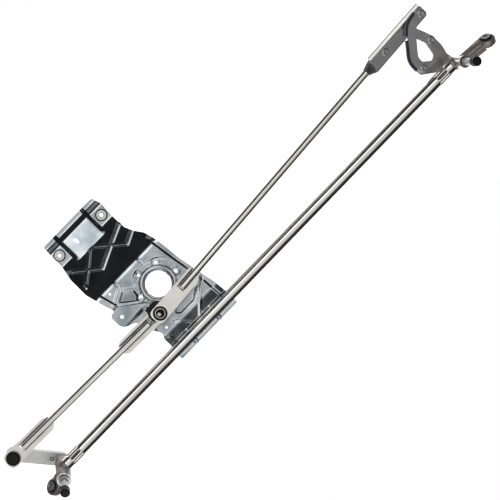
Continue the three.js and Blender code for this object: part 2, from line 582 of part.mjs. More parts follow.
function rivets() {
  const plateTop = PLATE / 2, aTop = LINK_A_LEVEL + PLATE / 2, bTop = LINK_B_LEVEL + PLATE / 2;
  const bFoot = LINK_B_LEVEL - PLATE / 2;
  rivet('link_a_rod_rivet', JOINT_C, -plateTop, aTop);
  rivet('link_a_lever_rivet', JOINT_E, -plateTop, aTop);
  rivet('link_b_lever_rivet', JOINT_F, -plateTop, bTop);
  rivet('link_b_rod_rivet', JOINT_D, -plateTop, bTop, OPEN_PIN_R);
  spacer('link_b_lever_spacer', JOINT_F, plateTop + GAP, bFoot - GAP, RIVET_R + GAP);
  spacer('link_b_rod_spacer', JOINT_D, plateTop + GAP, bFoot - GAP, OPEN_PIN_R + GAP);
}

// ---------------------------------------------------------------- motor bracket

// Side view of the sheet as [y, z] of its middle: round the tube, up to the motor plate, down to a cowl level
function sheetLine(level, slopeEnd) {
  const r = TUBE_R + GAP + SHEET / 2;
  const saddle = Array.from({ length: 9 }, (_, i) => {
    const a = (190 + i * 155 / 8) * deg;
    return [TUBE_Y + r * Math.cos(a), TUBE_Z + r * Math.sin(a)];
  });
  const middle = -SHEET / 2;
  return [...saddle, [-65, middle], [52, middle], [slopeEnd, level - SHEET / 2],
    [LIP_START, level - SHEET / 2], [LIP_FOOT, level - LIP_DROP - SHEET / 2],
    [BRACKET_END, level - LIP_DROP - SHEET / 2]];
}

// Sheet of the given side view between two x positions
const SIDEWAYS = new THREE.Matrix4().makeBasis(
  new THREE.Vector3(0, 1, 0), new THREE.Vector3(0, 0, 1), new THREE.Vector3(1, 0, 0));
const folded = (line, x0, x1) => extruded(band(line, SHEET / 2), x0, x1, SIDEWAYS);

function bracketOutline() {
  return outline([[67, -112], [67, -88], [65, -62, 20], [59, -30, 20], [53, 5, 20], [49, 50, 20], [43, 73, 10],
    [33, 88, 8], [27, 102, 8], [26, 130, 20], [28, 155, 10], [26, 174, 4], [-88, 174, 4], [-89, 130, 12],
    [-94, 105, 12], [-94, 70, 12], [-85, 35, 20], [-80, 21, 4], [-92, 18, 14], [-92, -7, 14], [-71, -17, 6],
    [-63, -28, 6], [-61, -44, 6], [-52, -60, 6], [-57, -68, 3], [-57, -88, 2], [-60, -93, 2], [-60, -112]]);
}

function bracket() {
  const plan = bracketOutline();
  [LEFT_FIXING, RIGHT_FIXING].forEach(([x, y]) => hole(plan, x, y, GROMMET.neck + GAP));
  hole(plan, 0, 0, MOTOR_HOLE_R);
  for (let i = 0; i < MOTOR_SCREWS; i += 1) {
    const a = MOTOR_SCREW_START + i * 2 * Math.PI / MOTOR_SCREWS;
    hole(plan, MOTOR_SCREW_PCD / 2 * Math.cos(a), MOTOR_SCREW_PCD / 2 * Math.sin(a), MOTOR_SCREW_R);
  }
  hole(plan, -78.5, 5, 3);
  plan.holes.push(outline([[-45, 139, 2], [-45, 148, 2], [-40, 148, 2], [-40, 139, 2]]));
  const pads = sheetLine(PAD_Z, PAD_START), panel = sheetLine(PANEL_Z, PANEL_START);
  const walls = [PANEL_LEFT, PANEL_RIGHT].map((x) => {
    const face = outline([[PANEL_START, PANEL_Z], [LIP_START, PANEL_Z], [LIP_FOOT, PANEL_Z - LIP_DROP],
      [BRACKET_END, PANEL_Z - LIP_DROP], [BRACKET_END, PAD_Z - LIP_DROP - SHEET],
      [LIP_FOOT, PAD_Z - LIP_DROP - SHEET], [LIP_START, PAD_Z - SHEET], [PAD_START, PAD_Z - SHEET],
      [PANEL_START, PANEL_Z - SHEET]]);
    return extruded(face, x - SHEET / 2, x + SHEET / 2, SIDEWAYS);
  });
  const sheet = join(folded(pads, -100, PANEL_LEFT), folded(panel, PANEL_LEFT, PANEL_RIGHT),
    folded(pads, PANEL_RIGHT, 70), ...walls, ...ribs());
  const collar = ring(MOTOR_HOLE_R, 30, -SHEET / 2, 1.6, undefined, undefined, FINE);
  add('motor_bracket', join(sheet.intersect(extruded(plan, -90, 20)), collar), 'sheet');
}

// Pressed ribs on the motor plate, as raised bands
function ribs() {
  const height = 1.2, half = 2;
  const lines = [
    [[-48, 38], [-48, 51]], [[5, 41], [5, 51]], [[-72, 24], [-50, 37], [-33, 24], [-33, 12]],
    [[-22, -52], [-10, -62], [22, -62], [50, -46]],
  ];
  return lines.map((line) => extruded(band(line, half), -SHEET / 2, height));
}

// ---------------------------------------------------------------- assembly

frameTube();
bearing('left', left, LEFT_EAR, TUBE_LEFT, -1);
bearing('right', right, RIGHT_EAR, TUBE_RIGHT, 1);
bracket();
isolator('bracket_left', new THREE.Vector3(...LEFT_FIXING, PAD_Z - SHEET / 2), UP, SHEET);
isolator('bracket_right', new THREE.Vector3(...RIGHT_FIXING, PAD_Z - SHEET / 2), UP, SHEET);
shaft('left', left);
shaft('right', right);
leftLever();
leftRod();
rightRod();
rightLever();
links();
rivets();

assembly.position.set(-RIGHT_FIXING[0], -RIGHT_FIXING[1], -FIXING_SEAT);

export default assembly;
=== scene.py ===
from math import asin, cos, dist, hypot, pi, radians, sin, tan

import bmesh
import bpy
import numpy as np
from mathutils import Matrix, Vector
from mathutils.geometry import delaunay_2d_cdt, tessellate_polygon


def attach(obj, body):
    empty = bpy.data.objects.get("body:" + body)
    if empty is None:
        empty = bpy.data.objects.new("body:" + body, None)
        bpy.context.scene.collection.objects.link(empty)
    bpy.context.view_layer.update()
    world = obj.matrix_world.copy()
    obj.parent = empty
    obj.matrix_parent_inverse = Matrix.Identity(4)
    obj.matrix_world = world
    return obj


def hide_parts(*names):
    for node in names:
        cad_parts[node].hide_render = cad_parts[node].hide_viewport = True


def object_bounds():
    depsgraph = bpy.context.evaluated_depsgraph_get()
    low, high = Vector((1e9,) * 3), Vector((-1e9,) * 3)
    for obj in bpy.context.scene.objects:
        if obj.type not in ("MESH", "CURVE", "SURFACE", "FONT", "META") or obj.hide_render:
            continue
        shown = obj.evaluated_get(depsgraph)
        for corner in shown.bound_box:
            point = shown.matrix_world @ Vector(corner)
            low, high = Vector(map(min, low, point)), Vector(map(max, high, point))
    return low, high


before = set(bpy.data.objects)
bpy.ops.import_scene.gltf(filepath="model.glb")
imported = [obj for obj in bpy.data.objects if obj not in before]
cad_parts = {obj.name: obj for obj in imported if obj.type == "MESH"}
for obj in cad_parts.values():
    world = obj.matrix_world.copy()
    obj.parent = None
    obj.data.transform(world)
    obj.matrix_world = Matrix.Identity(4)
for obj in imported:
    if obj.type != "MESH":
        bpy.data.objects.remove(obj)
cad_low, cad_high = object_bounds()

# ---- driving dimensions, in millimetres

# Design axes: X along the frame tube, Y towards the cowl fixings, Z outwards, and the motor axis at zero
MM = 0.001
ZERO = Vector((-15, -143, 52.8))  # design zero in the row frame
TO_ROW = Matrix.Scale(MM, 4) @ Matrix.Translation(ZERO)
GAP = 0.3
SIDES = 72
EDGE = 0.35  # rounding of a stamped plate's edges
PLATE = 3
SHEET = 2

TUBE_Y, TUBE_Z, TUBE_R, TUBE_WALL = -95, -12, 10, 2
TUBE_LEFT, TUBE_RIGHT = -311, 578
CRIMP = {"length": 20, "width": 3.8, "inset": 22, "count": 6, "lip": 2.0}

LEVER_Z = -48
SHAFT_R, CONE_FOOT, CONE_TOP, THREAD_R, SHAFT_TOP = 6, 88, 98, 4.2, 112
CAP = {"outer": 8.5, "foot": 103, "top": 117}
LEFT = {"x": -311.5, "y": -85, "lean": (-0.594, -0.8), "tilt": 26, "barrel": 12, "top": 72,
        "turned": 3}
RIGHT = {"x": 579, "y": -87, "lean": (0.66, -0.74), "tilt": 22, "barrel": 10, "top": 68,
         "turned": 46}
BARREL_FOOT, BUSH_WALL = 10, 2
LEFT_EAR = {"at": (-349, -107, 0), "axis": (-0.35, 0.62, 0.7), "arm": 11}
RIGHT_EAR = {"at": (645, -108, -2), "axis": (0.4, 0.78, 0.48), "arm": 12}
EAR_R, EAR_THICK, WEB_THICK = 14, 10.5, 7
SPIGOT_LENGTH, SPIGOT_RIBS, RIB_PITCH = 38, 10, 3.4
GROMMET = {"neck": 8, "flange": 10, "lip": 2.6}
SLEEVE = {"outer": 5, "inner": 3.2, "flange": 8.1, "thick": 1.2, "proud": 0.6}

PAD_Z, PANEL_Z, LIP_DROP = -47, -40, 8
PANEL_START, PAD_START, LIP_START, LIP_FOOT, BRACKET_END = 118, 129, 157.5, 166, 176
LEFT_FIXING, RIGHT_FIXING = (-78.5, 146), (15, 143)
MOTOR_HOLE_R, SCREW_CIRCLE_R, SCREW_R, SCREWS, SCREW_START = 21.2, 35, 2.7, 6, -9

CRANK = Vector((-31.5, -35.5, 28))
LEFT_BALL, LEFT_BALL_HEIGHT, BALL_R = (-363.2, -27.6), 12, 8
LEFT_LEVER = {"half": 12, "skirt": 6.5, "wall": 2.2}
TOOLING_R, LEFT_TOOLING, RIGHT_TOOLING = 3.2, (-321.5, -72), (571, -73)
ROD_KINK = (470, -5.8)
JOINT_C, JOINT_D, JOINT_E, JOINT_F = (519, -4), (603, -1), (585, -43), (543, -65)
JOINT_LEVEL, LINK_A_LEVEL, LINK_B_LEVEL, ROD_STEP = 5, 3.6, 7.4, 11.5
ROD_R, ROD_WALL = 6, 1.5
LEFT_TUBE, RIGHT_TUBE = (1.2, 3.2), (0.8, 3.4)  # y and z of the rod tubes in their rods' axes
SHIELD_R, SHIELD_OFFSET = 17.2, 4.6
LINK_A_HALF, LINK_B_HALF = 8, 7.6
RIVET_R, RIVET_HEAD, SPACER_R = 4, 6.4, 7.6
OPEN_HOLE_R, OPEN_PIN_R = 7.2, 3.4
UP = Vector((0, 0, 1))
ALONG = Vector((1, 0, 0))


# ---- mesh helpers

moved = Matrix.Translation


def angles(count):
    return [2 * pi * i / count for i in range(count)]


def axes(origin, x, y, z):
    return moved(origin) @ Matrix((x, y, z)).transposed().to_4x4()


def linked(name, data):
    obj = bpy.data.objects.new(name, data)
    bpy.context.scene.collection.objects.link(obj)
    return obj


def basis(origin, axis):
    """A matrix whose Z axis is the given direction and whose X axis lies as near as it can to world X."""
    z = Vector(axis).normalized()
    near = Vector((1, 0, 0)) if abs(z.x) < 0.99 else Vector((0, 1, 0))
    x = (near - z * near.dot(z)).normalized()
    return axes(origin, x, z.cross(x), z)


def made(bm, matrix=None):
    """A working object from a bmesh, with its faces turned outwards."""
    bmesh.ops.recalc_face_normals(bm, faces=bm.faces)
    mesh = bpy.data.meshes.new("work")
    bm.to_mesh(mesh)
    bm.free()
    if matrix is not None:
        mesh.transform(matrix)
    return linked("work", mesh)


def rounded(points, radius, steps=3, closed=False):
    """A line of points with each real corner replaced by a short arc."""
    result = []
    for i, point in enumerate(points):
        p = Vector(point[:2])
        before = Vector(points[i - 1][:2]) - p
        after = Vector(points[(i + 1) % len(points)][:2]) - p
        is_end = not closed and i in (0, len(points) - 1)
        size = point[2] if len(point) > 2 else radius
        if is_end or size == 0 or before.angle(after) > radians(172):
            result.append(tuple(p))
            continue
        angle = before.angle(after)
        reach = min(size / tan(angle / 2), before.length * 0.47, after.length * 0.47)
        count = max(2, round((pi - angle) / radians(8))) if len(point) > 2 else steps
        start, end = p + before.normalized() * reach, p + after.normalized() * reach
        for k in range(count + 1):
            t = k / count
            result.append(tuple(start * (1 - t) ** 2 + p * 2 * t * (1 - t) + end * t * t))
    return result


def lathe(profile, matrix=None, sides=SIDES, edge=0.3):
    """A turned solid. Profile points are (radius, height); one that closes on itself makes a ring."""
    loop = profile[0] == profile[-1]
    line = rounded(profile[:-1] if loop else profile, edge, closed=loop)
    bm = bmesh.new()
    rings = []
    for r, h in line:
        count = 1 if r < 1e-6 else sides
        rings.append([bm.verts.new((r * cos(a), r * sin(a), h)) for a in angles(count)])
    pairs = list(zip(rings, rings[1:])) + ([(rings[-1], rings[0])] if loop else [])
    for low, high in pairs:
        for i in range(sides):
            j = (i + 1) % sides
            corners = [low[i % len(low)], low[j % len(low)], high[j % len(high)], high[i % len(high)]]
            face = list(dict.fromkeys(corners))
            if len(face) > 2:
                bm.faces.new(face)
    return made(bm, matrix)


def cylinder(r, low, high, matrix=None, edge=0.0):
    return lathe([(0, low), (r, low), (r, high), (0, high)], matrix, edge=edge)


def ring(inner, outer, low, high, matrix=None, sides=SIDES, edge=0.3):
    corners = [(inner, low), (outer, low), (outer, high), (inner, high), (inner, low)]
    return lathe(corners, matrix, sides, edge)


def bar(a, b, ra, rb):
    length = (b - a).length
    return lathe([(0, 0), (ra, 0), (rb, length), (0, length)], basis(a, b - a))


def area(loop):
    return sum(a[0] * b[1] - b[0] * a[1] for a, b in zip(loop, loop[1:] + loop[:1])) / 2


def outline(corners):
    """A counter-clockwise outline through (x, y, corner radius) points."""
    loop = rounded([(*c, 0)[:3] for c in corners], 0, closed=True)
    return loop if area(loop) > 0 else loop[::-1]


def box(left, low, right, high, corner=0):
    corners = [(left, low), (right, low), (right, high), (left, high)]
    return outline([(*c, corner) for c in corners])


def circle(x, y, r, sides=48):
    """A clockwise circle, for a hole."""
    return [(x + r * cos(a), y - r * sin(a)) for a in angles(sides)]


def inset(loop, depth):
    """The outline moved into the material by a small depth."""
    result = []
    for i, point in enumerate(loop):
        p, a, b = Vector(point), Vector(loop[i - 1]), Vector(loop[(i + 1) % len(loop)])
        n = Vector((-(p - a).y, (p - a).x)).normalized() + Vector((-(b - p).y, (b - p).x)).normalized()
        n = n / max(n.length_squared / 2, 0.3)
        result.append(tuple(p + n * depth))
    return result


def prism(loops, layers, matrix=None):
    """A solid over an outline and its holes. Layers are (inset, height) from the bottom up."""
    bm = bmesh.new()
    stack = []
    for depth, z in layers:
        stack.append([[bm.verts.new((x, y, z)) for x, y in inset(loop, depth)] for loop in loops])
    for low, high in zip(stack, stack[1:]):
        for a, b in zip(low, high):
            for i in range(len(a)):
                j = (i + 1) % len(a)
                bm.faces.new((a[i], a[j], b[j], b[i]))
    for layer in (stack[0], stack[-1]):
        corners = [v for loop in layer for v in loop]
        for tri in tessellate_polygon([[v.co.copy() for v in loop] for loop in layer]):
            bm.faces.new([corners[i] for i in tri])
    return made(bm, matrix)


def plate(loops, low, high, matrix=None, edge=EDGE):
    """A stamped plate with softly rounded edges."""
    half = edge * 0.3
    layers = [(edge, low), (half, low + half), (0, low + edge)]
    layers += [(0, high - edge), (half, high - half), (edge, high)]
    return prism(loops, layers, matrix)


def band(line, half, round_ends=False):
    """The outline of a band of even width along a line."""
    points = [Vector(p) for p in line]
    sides = []
    for i, p in enumerate(points):
        ahead = (points[min(i + 1, len(points) - 1)] - p)
        behind = (p - points[max(i - 1, 0)])
        ahead, behind = [(v if v.length else w).normalized() for v, w in ((ahead, behind), (behind, ahead))]
        along = (ahead + behind).normalized()
        sides.append(Vector((-along.y, along.x)) * half / max(along.dot(ahead), 0.3))
    turns = [pi * k / 14 for k in range(1, 14)] if round_ends else []
    first = [points[-1] + Matrix.Rotation(-a, 2) @ sides[-1] for a in turns]
    last = [points[0] + Matrix.Rotation(-a, 2) @ -sides[0] for a in turns]
    there = [p + s for p, s in zip(points, sides)]
    back = [p - s for p, s in zip(points, sides)][::-1]
    loop = [tuple(p) for p in there + first + back + last]
    return loop if area(loop) > 0 else loop[::-1]


def smooth_line(points, count):
    """Evenly spread points on a Catmull-Rom curve through the given ones."""
    p = [Vector(q) for q in points]
    p = [2 * p[0] - p[1]] + p + [2 * p[-1] - p[-2]]
    dense = []
    for a, b, c, d in zip(p, p[1:], p[2:], p[3:]):
        for k in range(12):
            t = k / 12
            dense.append(0.5 * (2 * b + (c - a) * t + (2 * a - 5 * b + 4 * c - d) * t * t
                                + (3 * b - a - 3 * c + d) * t ** 3))
    dense.append(p[-2])
    steps = np.cumsum([0] + [(b - a).length for a, b in zip(dense, dense[1:])])
    where = np.linspace(0, steps[-1], count + 1)
    xs = np.interp(where, steps, [v.x for v in dense])
    ys = np.interp(where, steps, [v.y for v in dense])
    return list(zip(xs, ys))


def loft(sections):
    """A solid through closed sections of equal point counts, capped at both ends."""
    bm = bmesh.new()
    rings = [[bm.verts.new(p) for p in section] for section in sections]
    for a, b in zip(rings, rings[1:]):
        for i in range(len(a)):
            j = (i + 1) % len(a)
            bm.faces.new((a[i], a[j], b[j], b[i]))
    bm.faces.new(rings[0])
    bm.faces.new(rings[-1])
    return made(bm)


def baked(obj):
    """The object with its modifiers applied."""
    mesh = bpy.data.meshes.new_from_object(obj.evaluated_get(bpy.context.evaluated_depsgraph_get()))
    obj.modifiers.clear()
    obj.data = mesh
    return obj


def boolean(obj, tools, operation):
    for tool in tools:
        mod = obj.modifiers.new("boolean", "BOOLEAN")
        mod.operation, mod.solver, mod.object = operation, "EXACT", tool
    baked(obj)
    for tool in tools:
        bpy.data.objects.remove(tool)
    return obj


def cut(obj, *tools):
    return boolean(obj, tools, "DIFFERENCE")


def fuse(obj, *tools):
    return boolean(obj, tools, "UNION")


def together(*objs):
    """Several closed shells as one object."""
    bm = bmesh.new()
    for obj in objs:
        bm.from_mesh(obj.data)
        bpy.data.objects.remove(obj)
    mesh = bpy.data.meshes.new("work")
    bm.to_mesh(mesh)
    bm.free()
    return linked("work", mesh)


def blended(obj, voxel, passes):
    """The overlapping shells melted into one skin with soft fillets, as in a casting."""
    mod = obj.modifiers.new("skin", "REMESH")
    mod.mode, mod.voxel_size = "VOXEL", voxel
    soft = obj.modifiers.new("soft", "SMOOTH")
    soft.factor, soft.iterations = 0.5, passes
    return baked(obj)


def piece(name, obj, body, look, nodes=(), place=None, sharp=38, slot=None):
    """Puts a finished shape in the row frame, gives it its finish and lets it ride on its CAD body."""
    slot = slot or SLOT_OF[look.name]
    obj.data.transform(TO_ROW if place is None else TO_ROW @ place)
    obj.name = obj.data.name = name
    obj.data.shade_smooth()
    obj.data.set_sharp_from_angle(angle=radians(sharp))
    obj.data.materials.clear()
    obj.data.materials.append(look)
    weighted = obj.modifiers.new("normals", "WEIGHTED_NORMAL")
    weighted.keep_sharp = True
    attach(obj, body)
    if nodes:
        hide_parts(*nodes)


def stand_in(node, obj, body, look, place=None):
    """A piece that takes the place of the one CAD node it is named after."""
    piece(f"{node}_fine", obj, body, look, [node], place)


# ---- finishes

SLOT_OF = {}  # each finish's material slot name


def settings(node, **values):
    """Sets inputs of a node by name, with an underscore for a space."""
    for name, value in values.items():
        node.inputs[name.replace("_", " ")].default_value = value


def mapped(tree, value, source, target, shape="LINEAR"):
    """A value carried from one range to another."""
    node = tree.nodes.new("ShaderNodeMapRange")
    node.interpolation_type = shape
    settings(node, From_Min=source[0], From_Max=source[1], To_Min=target[0], To_Max=target[1])
    tree.links.new(value, node.inputs["Value"])
    return node.outputs["Result"]


def noise(tree, place, scale, detail, roughness):
    node = tree.nodes.new("ShaderNodeTexNoise")
    settings(node, Scale=scale, Detail=detail, Roughness=roughness)
    tree.links.new(place, node.inputs["Vector"])
    return node.outputs["Fac"]


def finish(slot, name, light, dark, metallic, rough, spread, grain, relief, stretch=(1, 1, 1), wear=None,
           blotch=55, sheen=None, gleam=0.5):
    """A procedural finish: blotches of colour, uneven roughness, fine grain in the surface, worn edges."""
    SLOT_OF[name] = slot
    mat = bpy.data.materials.new(name)
    mat.use_nodes = True
    tree = mat.node_tree
    node, link = tree.nodes.new, tree.links.new
    shader = tree.nodes["Principled BSDF"]
    settings(shader, Metallic=metallic, Specular_IOR_Level=gleam)
    coords, place = node("ShaderNodeTexCoord"), node("ShaderNodeMapping")
    settings(place, Scale=stretch)
    link(coords.outputs["Object"], place.inputs["Vector"])
    colour = node("ShaderNodeValToRGB")
    first, last = colour.color_ramp.elements
    first.position, first.color = 0.3, (*dark, 1)
    last.position, last.color = 0.7, (*light, 1)
    if sheen:
        colour.color_ramp.elements.new(0.5).color = (*sheen, 1)
    link(noise(tree, place.outputs["Vector"], blotch, 6, 0.5), colour.inputs["Fac"])
    fine = noise(tree, place.outputs["Vector"], grain, 8, 0.65)
    link(mapped(tree, fine, (0.3, 0.7), (rough - spread, rough + spread)), shader.inputs["Roughness"])
    bump = node("ShaderNodeBump")
    settings(bump, Strength=0.6, Distance=relief * MM)
    link(fine, bump.inputs["Height"])
    link(bump.outputs["Normal"], shader.inputs["Normal"])
    if wear is None:
        link(colour.outputs["Color"], shader.inputs["Base Color"])
        return mat
    edges = mapped(tree, node("ShaderNodeNewGeometry").outputs["Pointiness"], (0.52, 0.62), (0, 1))
    worn = node("ShaderNodeMix")
    worn.data_type = "RGBA"
    settings(worn, B=(*wear, 1))
    link(edges, worn.inputs["Factor"])
    link(colour.outputs["Color"], worn.inputs["A"])
    link(worn.outputs["Result"], shader.inputs["Base Color"])
    return mat


DRAWN = (0.06, 1, 1)  # streaks along X, as on drawn tube
TUBE_ZINC = finish("galvanised_tube", "tube_zinc", (0.68, 0.67, 0.64), (0.52, 0.51, 0.48), 1, 0.2, 0.06,
                   900, 0.02, DRAWN, sheen=(0.78, 0.77, 0.74))
ROD_ZINC = finish("galvanised_tube", "rod_zinc", (0.8, 0.79, 0.74), (0.62, 0.61, 0.56), 1, 0.22, 0.06,
                  900, 0.02, DRAWN, sheen=(0.75, 0.74, 0.7))
# Bracket sheet: the large dark blue-grey blotches are partly the zinc's own tint and partly painted
# reflection changes across the flats.
SHEET_ZINC = finish("bracket_sheet", "sheet_zinc", (0.66, 0.68, 0.69), (0.27, 0.33, 0.38), 1, 0.18, 0.06,
                    500, 0.03, wear=(0.9, 0.92, 0.93), sheen=(0.49, 0.53, 0.56), blotch=30)
CREAM_ZINC = finish("rod_end_plate", "cream_zinc", (0.92, 0.9, 0.82), (0.79, 0.76, 0.68), 0.75, 0.36,
                    0.08, 700, 0.03, wear=(0.95, 0.94, 0.9), sheen=(0.86, 0.85, 0.81))
LINK_STEEL = finish("link_steel", "link_steel_satin", (0.5, 0.5, 0.49), (0.36, 0.37, 0.38), 0.95, 0.36,
                    0.08, 800, 0.04, wear=(0.7, 0.7, 0.7))
LEVER_ZINC = finish("bracket_sheet", "lever_zinc", (0.9, 0.9, 0.88), (0.66, 0.66, 0.65), 0.55, 0.46, 0.1,
                    700, 0.06, wear=(0.9, 0.9, 0.88), blotch=260)
CASTING = finish("die_cast", "die_cast_alloy", (0.47, 0.425, 0.39), (0.3, 0.265, 0.24), 0.6, 0.48, 0.1,
                 1400, 0.18, wear=(0.62, 0.59, 0.56), blotch=160)
MACHINED = finish("die_cast", "machined_alloy", (0.82, 0.8, 0.78), (0.66, 0.64, 0.62), 1, 0.24, 0.06,
                  1500, 0.03)
BRIGHT = finish("bright_steel", "bright_steel_turned", (0.8, 0.8, 0.79), (0.62, 0.62, 0.62), 1, 0.22,
                0.08, 1500, 0.03)
BRONZE = finish("sintered_bronze", "bronze_sintered", (0.5, 0.36, 0.2), (0.36, 0.25, 0.14), 0.9, 0.45,
                0.1, 2500, 0.1)
SHAFT_STEEL = finish("bright_steel", "shaft_steel", (0.56, 0.55, 0.54), (0.4, 0.4, 0.4), 1, 0.3, 0.08,
                     1500, 0.03)
SLEEVE_STEEL = finish("bright_steel", "sleeve_steel", (0.6, 0.61, 0.63), (0.4, 0.41, 0.43), 0.7, 0.42,
                      0.1, 1500, 0.05)
# Link B's flanges: the link's steel coloured dark blue-grey as painted shade on their sloping side walls.
FLANGE_PAINTED_SHADE = finish("link_steel", "flange_painted_shade", (0.28, 0.33, 0.4), (0.15, 0.19, 0.25), 0.9, 0.34,
                      0.08, 900, 0.04)
# Near-black casting finish: painted shade, used for the spigot inside the tube and the ring in the tooling
# dimple.
CAST_PAINTED_SHADE = finish("die_cast", "cast_painted_shade", (0.15, 0.145, 0.135), (0.06, 0.058, 0.055), 0.8, 0.38, 0.1,
                1400, 0.1)
RUBBER = finish("rubber", "rubber_moulded", (0.014, 0.014, 0.015), (0.006, 0.006, 0.006), 0, 0.6, 0.12,
                1800, 0.12, gleam=0.3)
PLASTIC = finish("black_plastic", "plastic_moulded", (0.009, 0.007, 0.006), (0.004, 0.003, 0.003), 0,
                 0.36, 0.08, 1600, 0.08, gleam=0.25)


# ---- places of the two pivots and the rods

def station(side):
    """Matrix of a pivot: Z is the shaft axis and zero is the middle of the lever plate."""
    lean, tilt = Vector(side["lean"]).normalized(), radians(side["tilt"])
    axis = Vector((lean.x * sin(tilt), lean.y * sin(tilt), cos(tilt))).normalized()
    return basis((side["x"], side["y"], LEVER_Z), axis)


LEFT_AT, RIGHT_AT = station(LEFT), station(RIGHT)


def local(at, x, y, z):
    return at.inverted() @ Vector((x, y, z))


def turn(at, axis):
    return at.inverted().to_3x3() @ Vector(axis)


def plan(at, x, y, level=0.0):
    """The point of the lever plane, or of a level above it, at x, y in plan, in the pivot's own axes."""
    axis, origin = at.col[2], at.translation
    dz = (level - axis.x * (x - origin.x) - axis.y * (y - origin.y)) / axis.z
    return local(at, x, y, LEVER_Z + dz)


def foot(at, joint, level=JOINT_LEVEL):
    p = plan(at, *joint, level)
    return Vector((p.x, p.y, 0))


def tilted(at, points, level=0.0):
    return [(*plan(at, p[0], p[1], level).xy, *p[2:]) for p in points]


def rod_frame(start, end):
    """Matrix of a rod: X runs along it from its first end and Z is as near to up as it can be."""
    x = (end - start).normalized()
    z = (UP - x * x.z).normalized()
    return axes(start, x, z.cross(x), z)


BALL = LEFT_AT @ plan(LEFT_AT, *LEFT_BALL, LEFT_BALL_HEIGHT)
LEFT_ROD_END = Vector((CRANK.x, CRANK.y, CRANK.z - ROD_STEP))
LEFT_ROD = rod_frame(BALL, LEFT_ROD_END)
LEFT_ROD_LENGTH = (LEFT_ROD_END - BALL).length
KINK = RIGHT_AT @ plan(RIGHT_AT, *ROD_KINK)
RIGHT_ROD = rod_frame(CRANK, KINK)
RIGHT_ROD_LENGTH = (KINK - CRANK).length


# ---- frame tube

def frame_tube():
    at = basis((TUBE_LEFT, TUBE_Y, TUBE_Z), ALONG)
    body = ring(TUBE_R - TUBE_WALL, TUBE_R, 0, TUBE_RIGHT - TUBE_LEFT, at, 96, 0.4)
    half, round_ = CRIMP["length"] / 2, CRIMP["width"] / 2
    window = box(-half, -round_, half, round_, 2)
    lip = CRIMP["lip"]
    layers = [(0, TUBE_R - 3), (0, TUBE_R - 1.6), (-0.4, TUBE_R - 1.25), (-lip, TUBE_R - 0.95),
              (-lip - 0.3, TUBE_R - 0.6), (-lip - 0.3, TUBE_R + 2)]
    tools = []
    for x in (TUBE_LEFT + CRIMP["inset"], TUBE_RIGHT - CRIMP["inset"]):
        for k in range(CRIMP["count"]):
            around = Matrix.Rotation(2 * pi * k / CRIMP["count"], 4, "X")
            tools.append(prism([window], layers, moved((x, TUBE_Y, TUBE_Z)) @ around))
    stand_in("frame_tube", cut(body, *tools), "frame", TUBE_ZINC)


# ---- bearings

def bearing(name, at, side, ear, end, into):
    low, high, barrel_r = BARREL_FOOT, side["top"], side["barrel"]
    axis = turn(at, ALONG)
    bore = SHAFT_R + 2 * GAP + BUSH_WALL
    mouth, tip = end + into * GAP, end - into * SPIGOT_LENGTH
    height = TUBE_Z - LEVER_Z
    heart = local(at, side["x"] + height * at.col[2].x, TUBE_Y, TUBE_Z)
    mouth_at, tip_at = local(at, mouth, TUBE_Y, TUBE_Z), local(at, tip, TUBE_Y, TUBE_Z)
    ear_axis, ear_at = turn(at, ear["axis"]), local(at, *ear["at"])
    ear_place = basis(ear_at, ear_axis)
    half = EAR_THICK / 2
    root = Vector((0, 0, ear_at.z * 0.5 + high * 0.32))
    shell = together(
        cylinder(barrel_r, low, high, edge=1.0),
        cylinder(TUBE_R + 1.5, 0, 5, basis(mouth_at, axis * into)),
        bar(mouth_at, heart, TUBE_R - 0.5, TUBE_R + 1),
        cylinder(EAR_R, -half, half, ear_place, edge=1.2),
        bar(root, ear_at, barrel_r, ear["arm"] * 0.55),
        ear_web(root, ear_at, ear_axis, barrel_r, ear["arm"]),
        ear_web(root, ear_at, turn(at, UP), barrel_r, ear["arm"]))
    body = cut(blended(shell, 0.7, 8),
               bar(tip_at, mouth_at, TUBE_R + GAP, TUBE_R + GAP),
               cylinder(bore, low - 1, high + 1),
               cylinder(GROMMET["neck"] + GAP, -20, 20, ear_place),
               cylinder(GROMMET["flange"] + 0.8, half, 20, ear_place),
               cylinder(GROMMET["flange"] + 0.8, -20, -half, ear_place))
    spigot(name, at, tip_at, mouth_at, cylinder(bore, low, high))
    piece(f"{name}_bearing_fine", body, "frame", CASTING, [f"{name}_bearing_casting"], at)
    rim = ring(bore, barrel_r + 0.15, high - side["turned"], high + 0.1, edge=0.8)
    piece(f"{name}_barrel_turned_face", rim, "frame", MACHINED, (), at)
    for which, start in (("lower", low + 1), ("upper", high - 15)):
        bush = ring(SHAFT_R + GAP, SHAFT_R + GAP + BUSH_WALL, start, start + 14)
        stand_in(f"{name}_{which}_bush", bush, "frame", BRONZE, at)
    isolator(f"{name}_ear", at @ ear_place, EAR_THICK, SLEEVE_STEEL)


def spigot(name, at, tip_at, mouth_at, bore):
    """The ribbed end of a casting, inside the frame tube; its near-black finish is painted shade inside the
    tube.
    """
    crest, groove = TUBE_R - TUBE_WALL - GAP - 0.6, TUBE_R - TUBE_WALL - GAP - 1.6
    ribs = []
    for k in range(SPIGOT_RIBS):
        x = 4 + k * RIB_PITCH
        ribs += [(crest, x), (crest, x + 1.4), (groove, x + 1.8), (groove, x + 3)]
    profile = [(0, 0), *ribs, (TUBE_R - TUBE_WALL - GAP, SPIGOT_LENGTH), (0, SPIGOT_LENGTH)]
    body = lathe(profile, basis(tip_at, mouth_at - tip_at), edge=0.1)
    piece(f"{name}_spigot", cut(body, bore), "frame", CAST_PAINTED_SHADE, (), at)


